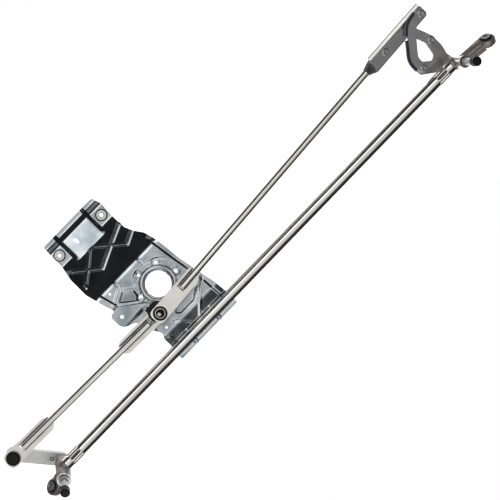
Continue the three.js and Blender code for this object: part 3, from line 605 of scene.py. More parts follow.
def ear_web(root, ear_at, face, root_half, tip_half):
    """A flat web along an ear's arm that faces the given direction."""
    along = ear_at - root
    across = face.cross(along).normalized()
    x = along.normalized()
    at = axes(root, x, across, x.cross(across))
    length = along.length
    shape = outline([(0, -root_half), (length, -tip_half), (length, tip_half), (0, root_half)])
    return plate([shape], -WEB_THICK / 2, WEB_THICK / 2, at, 1.0)


def isolator(name, at, wall, look):
    """A rubber grommet with a flanged steel sleeve through it."""
    half = wall / 2 + GAP
    top = half + GROMMET["lip"]
    inner, flange, neck = SLEEVE["outer"] + GAP, GROMMET["flange"], GROMMET["neck"]
    rubber = lathe([(inner, -top), (flange, -top), (flange, -half), (neck, -half), (neck, half),
                    (flange, half), (flange, top), (inner, top), (inner, -top)], edge=0.8)
    stand_in(f"{name}_grommet", rubber, "frame", RUBBER, at)
    reach, bore, tube, head = top + GAP, SLEEVE["inner"], SLEEVE["outer"], SLEEVE["flange"]
    low, upper = -reach - SLEEVE["proud"], reach + SLEEVE["thick"]
    sleeve = lathe([(bore, low), (tube, low), (tube, reach), (head, reach), (head, upper - 0.2),
                    (tube + 0.5, upper - 0.2), (tube + 0.2, upper - 0.7), (tube - 0.3, upper - 0.7),
                    (tube - 0.6, upper), (bore + 0.5, upper), (bore, upper - 0.6), (bore, low)], edge=0.25)
    stand_in(f"{name}_sleeve", sleeve, "frame", look, at)


# ---- shafts, washers, caps

def shaft(name, at, side):
    top, body = side["top"], f"{name}_drive"
    groove = top + 4.2
    half = PLATE / 2
    thread = []
    pitch = 1.25
    for k in range(int((SHAFT_TOP - CONE_TOP - 1) / pitch)):
        h = CONE_TOP + 0.6 + k * pitch
        thread += [(THREAD_R - 0.5, h), (THREAD_R, h + pitch / 2)]
    profile = [(0, -half - 2), (SHAFT_R + 2.4, -half - 2), (SHAFT_R + 2.4, -half - GAP),
               (SHAFT_R - 0.8, -half - GAP), (SHAFT_R - 0.8, half + GAP), (SHAFT_R + 2, half + GAP),
               (SHAFT_R + 2, 6.2), (SHAFT_R, 6.2), (SHAFT_R, groove), (SHAFT_R - 0.9, groove),
               (SHAFT_R - 0.9, groove + 1.6), (SHAFT_R, groove + 1.6), (SHAFT_R, CONE_FOOT),
               (THREAD_R + 0.5, CONE_TOP), *thread, (THREAD_R - 0.6, SHAFT_TOP), (0, SHAFT_TOP)]
    piece(f"{name}_shaft_fine", lathe(profile, edge=0.2), body, SHAFT_STEEL, [f"{name}_pivot_shaft"], at)
    edge = side["barrel"] - 1.6
    rings = [("thrust_washer", edge, 6.5, 8, BRIGHT),
             ("lower_wave_washer", edge - 0.8, 8.3, 9.5, LINK_STEEL),
             ("sealing_ring", SHAFT_R + 2.3, top + GAP, top + 2.2, RUBBER),
             ("upper_washer", edge - 1, top + 2.5, top + 4, BRIGHT)]
    for which, outer, low, high, look in rings:
        stand_in(f"{name}_{which}", ring(SHAFT_R + GAP, outer, low, high, edge=0.4), body, look, at)
    clip = ring(SHAFT_R - 0.6, SHAFT_R + 1.9, groove + GAP, groove + 1.3)
    opening = box(SHAFT_R - 2, -3.5, SHAFT_R + 6, 3.5)
    clip = cut(clip, prism([opening], [(0, groove - 3), (0, groove + 4)]))
    stand_in(f"{name}_circlip", clip, body, LINK_STEEL, at)
    outer, low, high = CAP["outer"], CAP["foot"], CAP["top"]
    cap = lathe([(THREAD_R + GAP, low), (outer, low), (outer, low + 2), (outer - 0.5, low + 2.6),
                 (outer - 0.5, high - 2.2), (outer - 2.2, high - 0.5), (0, high)], edge=0.6)
    piece(f"{name}_cap_fine", cap, f"{name}_cap", PLASTIC, [f"{name}_shaft_cap"], at)


# ---- left lever

def left_lever():
    ball = foot(LEFT_AT, LEFT_BALL, LEFT_BALL_HEIGHT)
    line = [(0, 0), tuple(ball.xy)]
    half, rim = LEFT_LEVER["half"], LEFT_LEVER["skirt"]
    outer, inner = band(line, half, True), band(line, half - LEFT_LEVER["wall"], True)
    tooling = plan(LEFT_AT, *LEFT_TOOLING)
    shell = prism([outer], [(0, -rim), (0, 0.6), (0.3, 1.1), (0.9, PLATE / 2)])
    body = cut(shell,
               prism([inner], [(0, -rim - 2), (0, -PLATE / 2 - 0.8), (0.8, -PLATE / 2)]),
               cylinder(SHAFT_R - 0.5, -10, 10),
               cylinder(RIVET_R + GAP, -10, 10, moved(ball)),
               cylinder(TOOLING_R, 0.2, 10, moved(tooling)))
    stand_in("left_lever", body, "left_drive", LEVER_ZINC, LEFT_AT)
    # A near-black ring inside the tooling dimple: painted shade in the dimple.
    dimple_shade = ring(2.3, 3.7, 0.6, PLATE / 2 + 0.15, moved(tooling), edge=0.12)
    piece("left_lever_dimple_shade", dimple_shade, "left_drive", CAST_PAINTED_SHADE, (), LEFT_AT, slot="bracket_sheet")
    r, h, under = BALL_R, LEFT_BALL_HEIGHT, PLATE / 2
    turns = [radians(-58 + i * 148 / 20) for i in range(20)]
    sweep = [(r * cos(a), h + r * sin(a)) for a in turns]
    stud = lathe([(0, -under - 2.2), (RIVET_HEAD, -under - 2.2), (RIVET_HEAD, -under - GAP),
                  (RIVET_R, -under - GAP), (RIVET_R, under + GAP), (6, under + GAP), (6, under + 1.4),
                  *sweep, (0, h + r)], moved(ball), edge=0.15)
    stand_in("left_ball_stud", stud, "left_drive", BRIGHT, LEFT_AT)


# ---- rods

def rod_end(loops, start, stop, y, z):
    """A stamped rod end: a plate with a half-round cradle that the rod tube lies in."""
    cradle = ROD_R + GAP + 2.5
    at = basis((start, y, z), ALONG)
    trough = cut(cylinder(cradle, 0, stop - start, at, edge=0.8),
                 prism([box(start - 5, y - 20, stop + 5, y + 20)], [(0, PLATE / 2 - 0.4), (0, 30)]))
    body = fuse(plate(loops, -PLATE / 2, PLATE / 2, edge=0.6), trough)
    slot = basis((start, y + 1.1, z + 1), ALONG)
    return cut(body, cylinder(ROD_R + 1.7, -2, stop - start + 20, slot))


def rod_tube(start, stop, y, z):
    return ring(ROD_R - ROD_WALL, ROD_R, 0, stop - start, basis((start, y, z), ALONG), 64, 0.4)


def left_rod():
    end, (y, z) = LEFT_ROD_LENGTH, LEFT_TUBE
    stand_in("left_rod_tube", rod_tube(24, end - 24, y, z), "left_rod", ROD_ZINC, LEFT_ROD)
    outer = outline([(-14.5, -14.5, 14), (14, -13, 9), (30, -12, 9), (80, -12, 6), (87, -5, 4),
                     (87, 7, 4), (80, 13.5, 6), (30, 13.5, 9), (14, 14.5, 9), (-14.5, 14.5, 14)])
    stand_in("left_rod_outer_end", rod_end([outer, circle(0, 0, 10.3)], 22, 87, y, z), "left_rod",
             CREAM_ZINC, LEFT_ROD)
    inner = outline([(end + 16, -14, 15), (end + 16, 16, 15), (end - 16, 14, 6), (end - 80, 13.5, 6),
                     (end - 87, 8, 3), (end - 87, -6, 3), (end - 80, -11.5, 6), (end - 14, -11.5, 6)])
    stand_in("left_rod_inner_end",
             rod_end([inner, circle(end, 0, RIVET_R + GAP)], end - 87, end - 22, y, z), "left_rod",
             CREAM_ZINC, LEFT_ROD)
    left_rod_joints(end)


def left_rod_joints(end):
    under, cavity, mouth = PLATE / 2 + GAP, 8.35, -3.8
    first = asin(mouth / cavity)
    turns = [first + (pi / 2 - first) * i / 16 for i in range(16)]
    wall = [(cavity * cos(a), cavity * sin(a)) for a in turns]
    socket = lathe([(0, 11), (4.5, 11), (5, 10.6), (8.8, 10.6), (11.5, 8.6), (11.5, under), (10, under),
                    (10, -under), (12.4, -under), (12.4, mouth), *wall, (0, cavity)], edge=0.5)
    stand_in("left_ball_socket", socket, "left_rod", PLASTIC, LEFT_ROD)
    hub = moved((end, 0, 0))
    centre, squash = -9.4, 0.55
    turns = [radians(90 - 130 * i / 14) for i in range(1, 15)]
    wall = [(7.2 * cos(a), centre + 7.2 * sin(a) * squash) for a in turns]
    rim = wall[-1][1]
    cup = lathe([(0, -4.2), (13, -4.2), (13, rim + 1), (12, rim), *wall[::-1],
                 (0, centre + 7.2 * squash)], hub, edge=0.3)
    stand_in("crank_socket", cup, "left_rod", PLASTIC, LEFT_ROD)
    disc_at = moved((end, SHIELD_OFFSET, 0))
    disc = cylinder(SHIELD_R, PLATE / 2 + GAP, PLATE / 2 + 2.2, disc_at, edge=0.6)
    shield = cut(disc, cylinder(RIVET_R + GAP, -5, 9, hub))
    stand_in("crank_joint_shield", shield, "left_rod", PLASTIC, LEFT_ROD)
    low = -PLATE / 2
    stud = lathe([(0, low - 2), (RIVET_HEAD, low - 2), (RIVET_HEAD, low - GAP), (RIVET_R, low - GAP),
                  (RIVET_R, 3), (OPEN_PIN_R, 3.4), (OPEN_PIN_R, 15.9), (OPEN_PIN_R - 0.7, 16.8),
                  (2.0, 16.8), (1.3, 16.2), (0, 16.2)], hub, edge=0.3)
    stand_in("crank_stud", stud, "left_rod", BRIGHT, LEFT_ROD)


def right_rod():
    y, z = RIGHT_TUBE
    shape = outline([(-14, -14, 15), (10, -14, 9), (78, -13, 6), (86, -8, 5), (92, 4, 4), (86, 13, 5),
                     (78, 13, 4), (10, 13.5, 9), (-14, 14, 15)])
    stand_in("right_rod_inner_end", rod_end([shape, circle(0, 0, 11.3)], 52, 90, y, z), "right_rod",
             CREAM_ZINC, RIGHT_ROD)
    half = PLATE / 2 + GAP
    bush = lathe([(8.6, -half - 1.4), (13, -half - 1.4), (13, -half), (11, -half), (11, 4.4), (10.2, 5.2),
                  (8.6, 5.2), (8.6, -half - 1.4)], edge=0.35)
    stand_in("crank_joint_bush", bush, "right_rod", PLASTIC, RIGHT_ROD)
    stand_in("crank_joint_sleeve", ring(7, 8.3, -half - 1.2, 4.6, edge=0.4), "right_rod", BRIGHT,
             RIGHT_ROD)
    start = RIGHT_ROD @ Vector((54, y, z))
    end = RIGHT_ROD @ Vector((RIGHT_ROD_LENGTH, y, z))
    tube = ring(ROD_R - ROD_WALL, ROD_R, 0, (end - start).length + 4, basis(start, end - start), 64, 0.4)
    piece("right_rod_tube_fine", tube, "right_rod", ROD_ZINC)
    flat_end(end, (end - start).normalized())


FLAT_END = [(480, -14.5, 8), (488, -17.2, 8), (609, -10, 4), (612, -6, 3), (612, 8, 2), (609, 10.2, 2),
            (490, 4.2, 12), (480, 3, 6)]


def flat_end(tube_end, along):
    """The rod tube's far end, pressed flat into a plate in the right lever's plane, with a rolled edge."""
    inverse = RIGHT_AT.inverted()
    start, x = inverse @ tube_end, (inverse.to_3x3() @ along).normalized()
    c, d = foot(RIGHT_AT, JOINT_C), foot(RIGHT_AT, JOINT_D)
    shape = outline(tilted(RIGHT_AT, FLAT_END))
    body = plate([shape, circle(c.x, c.y, RIVET_R + GAP), circle(d.x, d.y, OPEN_HOLE_R)],
                 -PLATE / 2, PLATE / 2, edge=0.5)
    wide = plan(RIGHT_AT, 491, -4.7)
    across_far = (plan(RIGHT_AT, 490, 8) - plan(RIGHT_AT, 488, -17.2)).normalized()
    across_near = UP.cross(x).normalized()
    sections = []
    for k in range(17):
        t = k / 16
        ease = t * t * (3 - 2 * t)
        centre = (start - x * 3).lerp(Vector((wide.x, wide.y, 0)), t)
        across = across_near.lerp(across_far, t).normalized()
        wide_half, thick_half = 6.1 + 5.9 * ease, 6.1 - 4.7 * ease
        sections.append([centre + across * (wide_half * cos(a)) + UP * (thick_half * sin(a))
                         for a in angles(48)])
    taper = loft(sections)
    edge = [plan(RIGHT_AT, 492, 6.6), plan(RIGHT_AT, 611, 12.4)]
    edge = [Vector((p.x, p.y, -1.3)) for p in edge]
    along_edge = (edge[1] - edge[0]).normalized()
    out = UP.cross(along_edge)
    half_roll = [(-3.2, 1.2), (-2.9, 2.5), (-2.4, 2.9), (2.0, 1.65), (2.9, 1.0), (3.3, 0.2),
                 (3.1, -1.4), (1.8, -2.9), (-0.6, -3.3), (-2.6, -2.2)]
    loop = [edge[0] + out * w + UP * h for w, h in rounded(half_roll, 0.5, 3, closed=True)]
    roll = loft([loop, [p + edge[1] - edge[0] for p in loop]])
    # The roll is the rod's own zinc, lighter and glossier than the flat end's steel; the contrast partly
    # paints a highlight along the edge.
    piece("right_rod_rolled_edge", roll, "right_rod", ROD_ZINC, (), RIGHT_AT)
    body = together(body, taper)
    piece("right_rod_flat_end", body, "right_rod", LINK_STEEL, ["right_rod_tube"], RIGHT_AT)


# ---- right lever and crossed links

RIGHT_LEVER = [(576, -34, 5), (592, -34, 7), (592, -60, 9), (588, -76, 6), (592, -92, 9), (578, -101, 10),
               (564, -92, 8), (533, -70, 7), (532, -56, 7), (550, -56, 4), (563, -67, 6), (571, -61, 5)]


def right_lever():
    shape = outline(tilted(RIGHT_AT, RIGHT_LEVER))
    e, f, tooling = foot(RIGHT_AT, JOINT_E), foot(RIGHT_AT, JOINT_F), plan(RIGHT_AT, *RIGHT_TOOLING)
    holes = [circle(p.x, p.y, r) for p, r in
             ((e, RIVET_R + GAP), (f, RIVET_R + GAP), (Vector((0, 0)), SHAFT_R - 0.5))]
    body = cut(plate([shape, *holes], -PLATE / 2, PLATE / 2, edge=0.5),
               cylinder(TOOLING_R, 0.1, 10, moved(tooling)))
    piece("right_lever_fine", body, "right_drive", LINK_STEEL, ["right_lever_plate"], RIGHT_AT)


LINK_A_BENDS = [(545, -3.6), (561, -5), (571, -11), (577.5, -23)]
LINK_B_BENDS = [(589, -3), (578, -6.5), (569, -14.5), (552, -34), (544.5, -44), (542.8, -54)]


def link_line(ends, bends, level):
    pins = [tuple(foot(RIGHT_AT, joint).xy) for joint in ends]
    bent = [tuple(p) for p in tilted(RIGHT_AT, bends, level)]
    return pins, smooth_line([pins[0], *bent, pins[1]], 40)


def link_plate(pins, line, half, level):
    holes = [circle(*p, RIVET_R + GAP) for p in pins]
    return plate([band(line, half, True), *holes], level - PLATE / 2, level + PLATE / 2, edge=0.5)


def upstand(line, offset, profile, low):
    """A flange along the right-hand side of a link: (outward, height) points swept along its line."""
    sections = []
    for k, (x, y) in enumerate(line):
        a, b = Vector(line[max(k - 1, 0)]), Vector(line[min(k + 1, len(line) - 1)])
        out = Vector(((b - a).y, (a - b).x)).normalized()
        sections.append([(x + out.x * (offset + u), y + out.y * (offset + u), low + v) for u, v in profile])
    return loft(sections)


def links():
    pins, line = link_line([JOINT_C, JOINT_E], LINK_A_BENDS, LINK_A_LEVEL)
    stand_in("cross_link_a", link_plate(pins, line, LINK_A_HALF, LINK_A_LEVEL), "link_a", LINK_STEEL,
             RIGHT_AT)
    pins, line = link_line([JOINT_D, JOINT_F], LINK_B_BENDS, LINK_B_LEVEL)
    stand_in("cross_link_b", link_plate(pins, line, LINK_B_HALF, LINK_B_LEVEL), "link_b", LINK_STEEL,
             RIGHT_AT)
    flange = [(-1, 0.2), (0.6, 0.2), (6.0, 1.9), (6.2, 2.6), (6.2, 4.4), (5.6, 4.9), (0.4, 3.1), (-1, 2.8)]
    # The flanges take the dark flange finish: painted shade on their side walls.
    for which, run in (("rod", line[3:17]), ("lever", line[19:-3])):
        wall = upstand(run, 6.9, flange, LINK_B_LEVEL - PLATE / 2)
        piece(f"cross_link_b_{which}_flange", wall, "link_b", FLANGE_PAINTED_SHADE, (), RIGHT_AT)
    rivets()


def rivet(name, joint, low, high, body, shank=RIVET_R):
    head = RIVET_HEAD
    profile = [(0, low - 2.2), (head - 1, low - 2.2), (head, low - 1.4), (head, low - GAP),
               (shank, low - GAP), (shank, high + GAP), (head, high + GAP), (head, high + 0.9),
               (head - 1.6, high + 1.8), (2.4, high + 1.8), (1.4, high + 1.0), (0, high + 1.0)]
    at = RIGHT_AT @ moved(foot(RIGHT_AT, joint))
    stand_in(name, lathe(profile, edge=0.35), body, LINK_STEEL, at)


def spacer(name, joint, low, high, inner, body):
    at = RIGHT_AT @ moved(foot(RIGHT_AT, joint))
    stand_in(name, ring(inner, SPACER_R, low, high), body, BRIGHT, at)


def rivets():
    top, a_top, b_top = PLATE / 2, LINK_A_LEVEL + PLATE / 2, LINK_B_LEVEL + PLATE / 2
    b_foot = LINK_B_LEVEL - PLATE / 2
    rivet("link_a_rod_rivet", JOINT_C, -top, a_top, "link_a")
    rivet("link_a_lever_rivet", JOINT_E, -top, a_top, "right_drive")
    rivet("link_b_lever_rivet", JOINT_F, -top, b_top, "right_drive")
    rivet("link_b_rod_rivet", JOINT_D, -top, b_top, "link_b", OPEN_PIN_R)
    spacer("link_b_lever_spacer", JOINT_F, top + GAP, b_foot - GAP, RIVET_R + GAP, "right_drive")
    spacer("link_b_rod_spacer", JOINT_D, top + GAP, b_foot - GAP, OPEN_PIN_R + GAP, "link_b")


# ---- motor bracket

GRID = 1.3  # spacing of the pressed sheet's mesh
BEND = 7  # radius of the long bends
SADDLE_R = TUBE_R + GAP + SHEET / 2
SADDLE_TOP, SADDLE_FOOT = 365, 196  # angles round the tube where the saddle starts and ends
SLOPE_Y = TUBE_Y + SADDLE_R * cos(radians(SADDLE_TOP))
SADDLE_LENGTH = SADDLE_R * radians(SADDLE_TOP - SADDLE_FOOT)
PANEL_FALL = 2.6  # how far the raised panel drops towards the lip
HEM, HEM_FALL = 5.2, 0.3  # the saddle's flared hem and its slope
WALL_HEIGHT, POCKET_DEPTH, EAR_DROP, EAR_EDGE_DROP = 2.6, 2.2, 3.6, 4.5
SLOPE_RIB, FACE_RIB = (1.9, 2.4, 3.4), (0.6, 1.9, 4.4)  # half width of the top, height and flank
SCREW_ANGLES = [radians(SCREW_START + 360 * k / SCREWS) for k in range(SCREWS)]
SCREW_PLACES = [(SCREW_CIRCLE_R * cos(a), SCREW_CIRCLE_R * sin(a)) for a in SCREW_ANGLES]


def soft(distance, width):
    """0 to 1 across a width centred on zero."""
    t = np.clip(distance / width + 0.5, 0, 1)
    return t * t * (3 - 2 * t)


def line_distance(x, y, line):
    best = np.full(np.shape(x), 1e9)
    for (ax, ay), (bx, by) in zip(line, line[1:]):
        dx, dy = bx - ax, by - ay
        t = np.clip(((x - ax) * dx + (y - ay) * dy) / (dx * dx + dy * dy), 0, 1)
        best = np.minimum(best, np.hypot(x - ax - t * dx, y - ay - t * dy))
    return best


def inside(x, y, loop):
    """Signed distance to a closed outline, positive inside."""
    distance = line_distance(x, y, list(loop) + [loop[0]])
    odd = np.zeros(np.shape(x), bool)
    for (ax, ay), (bx, by) in zip(loop, list(loop[1:]) + [loop[0]]):
        crosses = (ay > y) != (by > y)
        odd ^= crosses & (x < (bx - ax) * (y - ay) / ((by - ay) or 1e-9) + ax)
    return np.where(odd, distance, -distance)


def within(x, y, loops):
    """Signed distance to the edge of an outline with holes, positive in the material."""
    distance = inside(x, y, loops[0])
    for loop in loops[1:]:
        distance = np.minimum(distance, -inside(x, y, loop))
    return distance


def ridge(x, y, line, half, height, flank):
    return height * (1 - soft(line_distance(x, y, line) - half, flank))


def along_y(y, line):
    ys, xs = [p[1] for p in line], [p[0] for p in line]
    return np.interp(y, ys, xs)


SLOPE_RIBS = [
    [(-86, 79), (-65, 95), (-37, 118)],
    [(-84, 113), (-45, 81), (-8, 98), (24, 112)],
    [(-33, 118), (-8, 97), (11, 80), (36, 92)],
]
FACE_RIBS = [
    [(-76, 26), (-49, 40), (-28, 25)], [(-48, 38), (-48, 50)], [(5, 39), (5, 50)],
    [(-48, -45), (-22, -62), (-3, -84)], [(58, -42), (29, -64), (9, -84)], [(8, 38), (28, 30), (38, 20)],
    [(-8, 39), (-20, 36), (-30, 26)],
]
# Where the crank socket passes just above the sheet, which stays flat there
CRANK_TRACK = [(-31.5, -35.5), (-42.3, -56.5)]
POCKETS = [
    [(-68, 24), (-49, 34), (-34, 21), (-36, 8), (-44, 4)],
    [(-16, -52), (-9, -60), (21, -60), (44, -46), (24, -34), (0, -38)],
]
LEFT_WALL_LOW = [(-47, -90), (-46, -66), (-52, -44)]
LEFT_WALL_HIGH = [(-71, 20), (-79, 52), (-84, 85), (-87, 118)]
RIGHT_WALL = [(57, -90), (55, -50), (50, -15), (46, 10), (41, 50), (38, 62)]


def side_flanges(x, y):
    low = soft(along_y(y, LEFT_WALL_LOW) - x, 5) * soft(-42 - y, 8)
    high = soft(along_y(y, LEFT_WALL_HIGH) - x, 5) * soft(y - 22, 8) * soft(116 - y, 10)
    right = soft(x - along_y(y, RIGHT_WALL), 5) * soft(62 - y, 12)
    return WALL_HEIGHT * (low + high + right)


def motor_face(x, y):
    """The stepped collar round the motor hole, with an embossed seat at each screw."""
    r = np.hypot(x, y)
    seats = np.zeros(np.shape(x))
    for place in SCREW_PLACES:
        d = np.hypot(x - place[0], y - place[1])
        seats = np.maximum(seats, 1.3 * (1 - soft(d - 6.2, 4)) - 0.6 * (1 - soft(d - 3.6, 1.2)))
    ring_height = 1.6 * soft(r - 24.6, 1.8) * soft(29.6 - r, 2)
    lowered = 2.4 * soft(23.4 - r, 2.2) + 0.9 * soft(r - 29.8, 1) * soft(31.8 - r, 1)
    return np.maximum(ring_height, seats * soft(r - 30, 2)) - lowered


def ear_steps(x, y):
    """The ear's level is pressed down along a diagonal, and its lower edge is turned down further."""
    ax, ay, bx, by = -74, 23, -14, -21
    length = hypot(bx - ax, by - ay)
    beyond = ((y - ay) * (bx - ax) - (x - ax) * (by - ay)) / length
    near = soft(x + 96, 2) * soft(-12 - x, 6) * soft(24 - y, 4)
    down = EAR_DROP * soft(-beyond, 5) * near * soft(np.hypot(x, y) - 33, 4) * soft(y + 38, 10)
    turned = EAR_EDGE_DROP * soft(-10 - y, 9) * soft(-42 - x, 12) * soft(y + 38, 10)
    return -down - turned


def relief(x, y):
    ribs = np.zeros(np.shape(x))
    clear = soft(np.hypot(x, y) - 31, 2)
    for line in SLOPE_RIBS:
        ribs = np.maximum(ribs, ridge(x, y, line, *SLOPE_RIB) * soft(117 - y, 6))
    for line in FACE_RIBS:
        ribs = np.maximum(ribs, ridge(x, y, line, *FACE_RIB) * clear)
    h = side_flanges(x, y) + motor_face(x, y) + ear_steps(x, y) + ribs
    for loop in POCKETS:
        h = h - POCKET_DEPTH * soft(inside(x, y, loop) - 1.2, 3.6) * clear
    swept = 1 - soft(line_distance(x, y, CRANK_TRACK) - 15.5, 3)
    return np.where(h > 0, h * (1 - swept), h)


def sheet_line(level, slope_end, fall=0.0):
    """Side view of the sheet's middle from the saddle to the far lip, as (y, z) with rounded bends."""
    z, middle = level - SHEET / 2, -SHEET / 2
    low = z - fall
    start = (SLOPE_Y, TUBE_Z + SADDLE_R * sin(radians(SADDLE_TOP)))
    line = [start, (-65, middle, 12), (52, middle, 15), (slope_end, z), (LIP_START, low),
            (LIP_FOOT, z - LIP_DROP), (BRACKET_END, z - LIP_DROP)]
    return rounded(line, BEND, 8)


def sheet_height(x, y):
    pads, panel = sheet_line(PAD_Z, PAD_START), sheet_line(PANEL_Z, PANEL_START, PANEL_FALL)
    low, high = [np.interp(y, [p[0] for p in line], [p[1] for p in line]) for line in (pads, panel)]
    share = soft(x + 62.5, 8.5) * soft(-1.5 - x, 8.5)
    return low + (high - low) * share + relief(x, y)


def sheet_point(x, t):
    """A point of the sheet's middle from x and the length t along it, which is y above the saddle."""
    into = SLOPE_Y - t
    angle = np.radians(SADDLE_TOP) - np.clip(into, 0, SADDLE_LENGTH) / SADDLE_R
    past = np.clip(into - SADDLE_LENGTH, 0, None)
    round_tube = into > 0
    y = np.where(round_tube, TUBE_Y + SADDLE_R * np.cos(angle) - past, t)
    z = np.where(round_tube, TUBE_Z + SADDLE_R * np.sin(angle) - past * HEM_FALL, sheet_height(x, t))
    return np.stack([x, y, z], 1)


def bracket_plan():
    foot_t = SLOPE_Y - SADDLE_LENGTH - HEM
    right = [(67, foot_t, 2), (67, -88), (65, -62, 20), (59, -30, 20), (53, 5, 20), (49, 50, 20),
             (43, 73, 10), (33, 88, 8), (27, 102, 8), (26, 130, 20), (28, 155, 10), (23, 174, 6)]
    left = [(-88, 174, 4), (-89, 130, 12), (-94, 105, 12), (-94, 70, 12), (-85, 35, 20), (-80, 21, 4),
            (-92, 18, 14), (-92, -7, 14), (-71, -17, 6), (-63, -28, 6), (-61, -44, 6), (-52, -60, 6),
            (-57, -68, 3), (-57, -88, 2), (-60, -93, 2), (-60, foot_t, 2)]
    return outline(right + left)


def divided(loop, step):
    points = []
    for a, b in zip(loop, loop[1:] + loop[:1]):
        count = max(1, round(dist(a, b) / step))
        dx, dy = b[0] - a[0], b[1] - a[1]
        points += [(a[0] + dx * k / count, a[1] + dy * k / count) for k in range(count)]
    return points


def bracket_holes():
    holes = [circle(0, 0, MOTOR_HOLE_R, 96)]
    holes += [circle(x, y, GROMMET["neck"] + GAP) for x, y in (LEFT_FIXING, RIGHT_FIXING)]
    holes += [circle(x, y, SCREW_R, 24) for x, y in SCREW_PLACES]
    small = [(-78.5, 5, 3), (-21, -83, 1.5), (31, -83, 1.5), (-66, 44, 2), (-41, -58, 2)]
    holes += [circle(x, y, r, 24) for x, y, r in small]
    slot = outline([(-45, 139, 2), (-45, 148, 2), (-40, 148, 2), (-40, 139, 2)])
    return holes + [slot]


def sheet_mesh():
    """The bracket's middle surface: a grid of points inside its outlines, meshed flat and then bent."""
    loops = [divided(loop, GRID) for loop in [bracket_plan(), *bracket_holes()]]
    corners = np.array([p for loop in loops for p in loop])
    low, high = corners.min(0), corners.max(0)
    xs, ys = np.meshgrid(np.arange(low[0], high[0], GRID), np.arange(low[1], high[1], GRID))
    xs, ys = xs.ravel(), ys.ravel()
    keep = within(xs, ys, loops) > 0.5 * GRID
    points = [Vector(p) for loop in loops for p in loop] + [Vector(p) for p in zip(xs[keep], ys[keep])]
    edges, start = [], 0
    for loop in loops:
        edges += [(start + i, start + (i + 1) % len(loop)) for i in range(len(loop))]
        start += len(loop)
    flat, _, faces, *_ = delaunay_2d_cdt(points, edges, [], 0, 1e-5)
    at = np.array([tuple(p) for p in flat])
    middle = np.array([at[list(f)].mean(0) for f in faces])
    shown = within(middle[:, 0], middle[:, 1], loops)
    mesh = bpy.data.meshes.new("work")
    places = sheet_point(at[:, 0], at[:, 1])
    mesh.from_pydata(places.tolist(), [], [f for f, s in zip(faces, shown) if s > 0])
    return mesh


def bracket():
    body = linked("work", sheet_mesh())
    thick = body.modifiers.new("sheet", "SOLIDIFY")
    thick.thickness, thick.offset = SHEET, 0
    edge = body.modifiers.new("edge", "BEVEL")
    edge.width, edge.segments = EDGE, 2
    edge.limit_method, edge.angle_limit = "ANGLE", radians(65)
    baked(body)
    piece("motor_bracket_fine", body, "frame", SHEET_ZINC, ["motor_bracket"], sharp=60)
    for x in (-24, 29):
        boss = lathe([(0, -3), (4.4, -3), (4.4, 0), (2.6, 1), (1.6, 1), (1.2, 0), (0, 0)],
                     moved((x, TUBE_Y - TUBE_R - 2.4, TUBE_Z + 1.2)), 32, 0.5)
        piece(f"saddle_clinch_{'left' if x < 0 else 'right'}", boss, "frame", SHEET_ZINC)


# ---- stage

VIEW_WIDTH = 800  # what the picture shows across, in millimetres
VIEW_CENTRE = (140.8, -68.0, 0)
VIEW_UP = Vector((0.719, 0.695, 0))
LENS, SENSOR = 400, 36
FLOOR_HALF = (0.64, 0.3)  # half the floor's sides, in metres
FLOOR_DROP = 90  # the floor below the lowest point


def camera():
    data = bpy.data.cameras.new("camera")
    data.lens, data.sensor_width = LENS, SENSOR
    data.clip_end = 100
    cam = linked("camera", data)
    away = VIEW_WIDTH * MM * LENS / SENSOR
    up = VIEW_UP.normalized()
    cam.matrix_world = axes((Vector(VIEW_CENTRE) + ZERO) * MM + UP * away, up.cross(UP), up, UP)
    bpy.context.scene.camera = cam


def joined(tree, fac, first, second, output):
    """Two shaders mixed by a socket and sent to an output node."""
    mix = tree.nodes.new("ShaderNodeMixShader")
    tree.links.new(fac, mix.inputs["Fac"])
    tree.links.new(first, mix.inputs[1])
    tree.links.new(second, mix.inputs[2])
    tree.links.new(mix.outputs["Shader"], tree.nodes[output].inputs["Surface"])


def floor():
    """A pale floor that can be seen from above only."""
    mesh = bpy.data.meshes.new("floor")
    middle, z = (cad_low + cad_high) / 2, cad_low.z - FLOOR_DROP * MM
    (wide, deep), signs = FLOOR_HALF, [(-1, -1), (1, -1), (1, 1), (-1, 1)]
    corners = [(middle.x + wide * a, middle.y + deep * b, z) for a, b in signs]
    mesh.from_pydata(corners, [], [(0, 1, 2, 3)])
    obj = linked("floor", mesh)
    mat = bpy.data.materials.new("pale_floor")
    mat.use_nodes = True
    tree = mat.node_tree
    shader = tree.nodes["Principled BSDF"]
    settings(shader, Base_Color=(0.85, 0.85, 0.85, 1), Roughness=0.9)
    settings(shader, Emission_Color=(1, 1, 1, 1), Emission_Strength=1)
    back = tree.nodes.new("ShaderNodeNewGeometry").outputs["Backfacing"]
    clear = tree.nodes.new("ShaderNodeBsdfTransparent")
    joined(tree, back, shader.outputs["BSDF"], clear.outputs["BSDF"], "Material Output")
    obj.data.materials.append(mat)


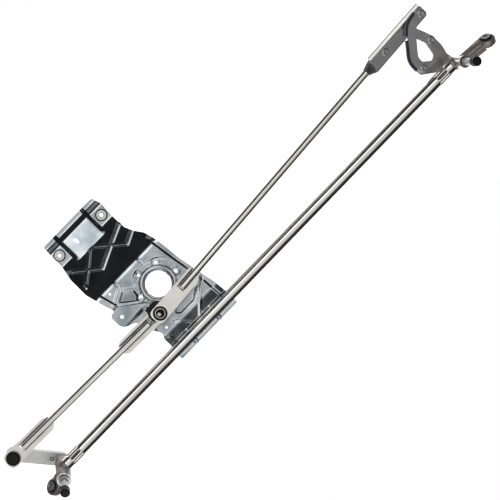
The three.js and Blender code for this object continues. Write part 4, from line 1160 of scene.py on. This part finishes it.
# Soft lights: tilt from straight up in degrees, the way it leans in (x, y), strength, and the angles from
# its middle where it stops being full and where it ends
LIGHTS = [
    (0, (0, 1), 0.6, 14, 34),
    (20, (0, 1), 1.2, 5, 18),
    (24, (0, -1), 0.5, 5, 19),
    (40, (0, -1), 0.26, 4, 15),
    (52, (-0.594, -0.8), 1.1, 14, 28),
    (25, (-1, 0), 0.7, 5, 14),
    (38, (0.65, 0.76), 0.5, 7, 21),
    (38, (-0.65, 0.76), 0.5, 7, 21),
    (44, (0.66, -0.74), 0.3, 12, 28),
    (30, (1, 0), 1.3, 5, 13),
    (88, (0, 1), 0.3, 5, 16),
]
SURROUND = 0.016  # the dark room beyond the lights


def studio():
    """Soft lights in a dark surround, which the camera itself sees as plain white."""
    world = bpy.data.worlds.new("studio")
    bpy.context.scene.world = world
    world.use_nodes = True
    tree = world.node_tree
    node, link = tree.nodes.new, tree.links.new
    coords = node("ShaderNodeTexCoord")
    total = None
    for tilt, lean, strength, full, reach in LIGHTS:
        angle, flat = radians(tilt), Vector(lean).normalized()
        dot = node("ShaderNodeVectorMath")
        dot.operation = "DOT_PRODUCT"
        dot.inputs[1].default_value = (flat.x * sin(angle), flat.y * sin(angle), cos(angle))
        link(coords.outputs["Generated"], dot.inputs[0])
        limits = (cos(radians(reach)), cos(radians(full)))
        glow = mapped(tree, dot.outputs["Value"], limits, (0, strength), "SMOOTHSTEP")
        add = node("ShaderNodeMath")
        add.inputs[1].default_value = SURROUND
        link(glow, add.inputs[0])
        if total is not None:
            link(total, add.inputs[1])
        total = add.outputs["Value"]
    lit, pale = tree.nodes["Background"], node("ShaderNodeBackground")
    link(total, lit.inputs["Strength"])
    settings(lit, Color=(1, 1, 1, 1))
    settings(pale, Color=(1, 1, 1, 1))
    camera_ray = node("ShaderNodeLightPath").outputs["Is Camera Ray"]
    joined(tree, camera_ray, lit.outputs["Background"], pale.outputs["Background"], "World Output")
    bpy.context.scene.view_settings.view_transform = "Standard"


# ---- assembly

frame_tube()
bearing("left", LEFT_AT, LEFT, LEFT_EAR, TUBE_LEFT, -1)
bearing("right", RIGHT_AT, RIGHT, RIGHT_EAR, TUBE_RIGHT, 1)
bracket()
for which, fixing in (("left", LEFT_FIXING), ("right", RIGHT_FIXING)):
    isolator(f"bracket_{which}", moved((*fixing, PAD_Z - SHEET / 2)), SHEET, BRIGHT)
shaft("left", LEFT_AT, LEFT)
shaft("right", RIGHT_AT, RIGHT)
left_lever()
left_rod()
right_rod()
right_lever()
links()
camera()
floor()
studio()
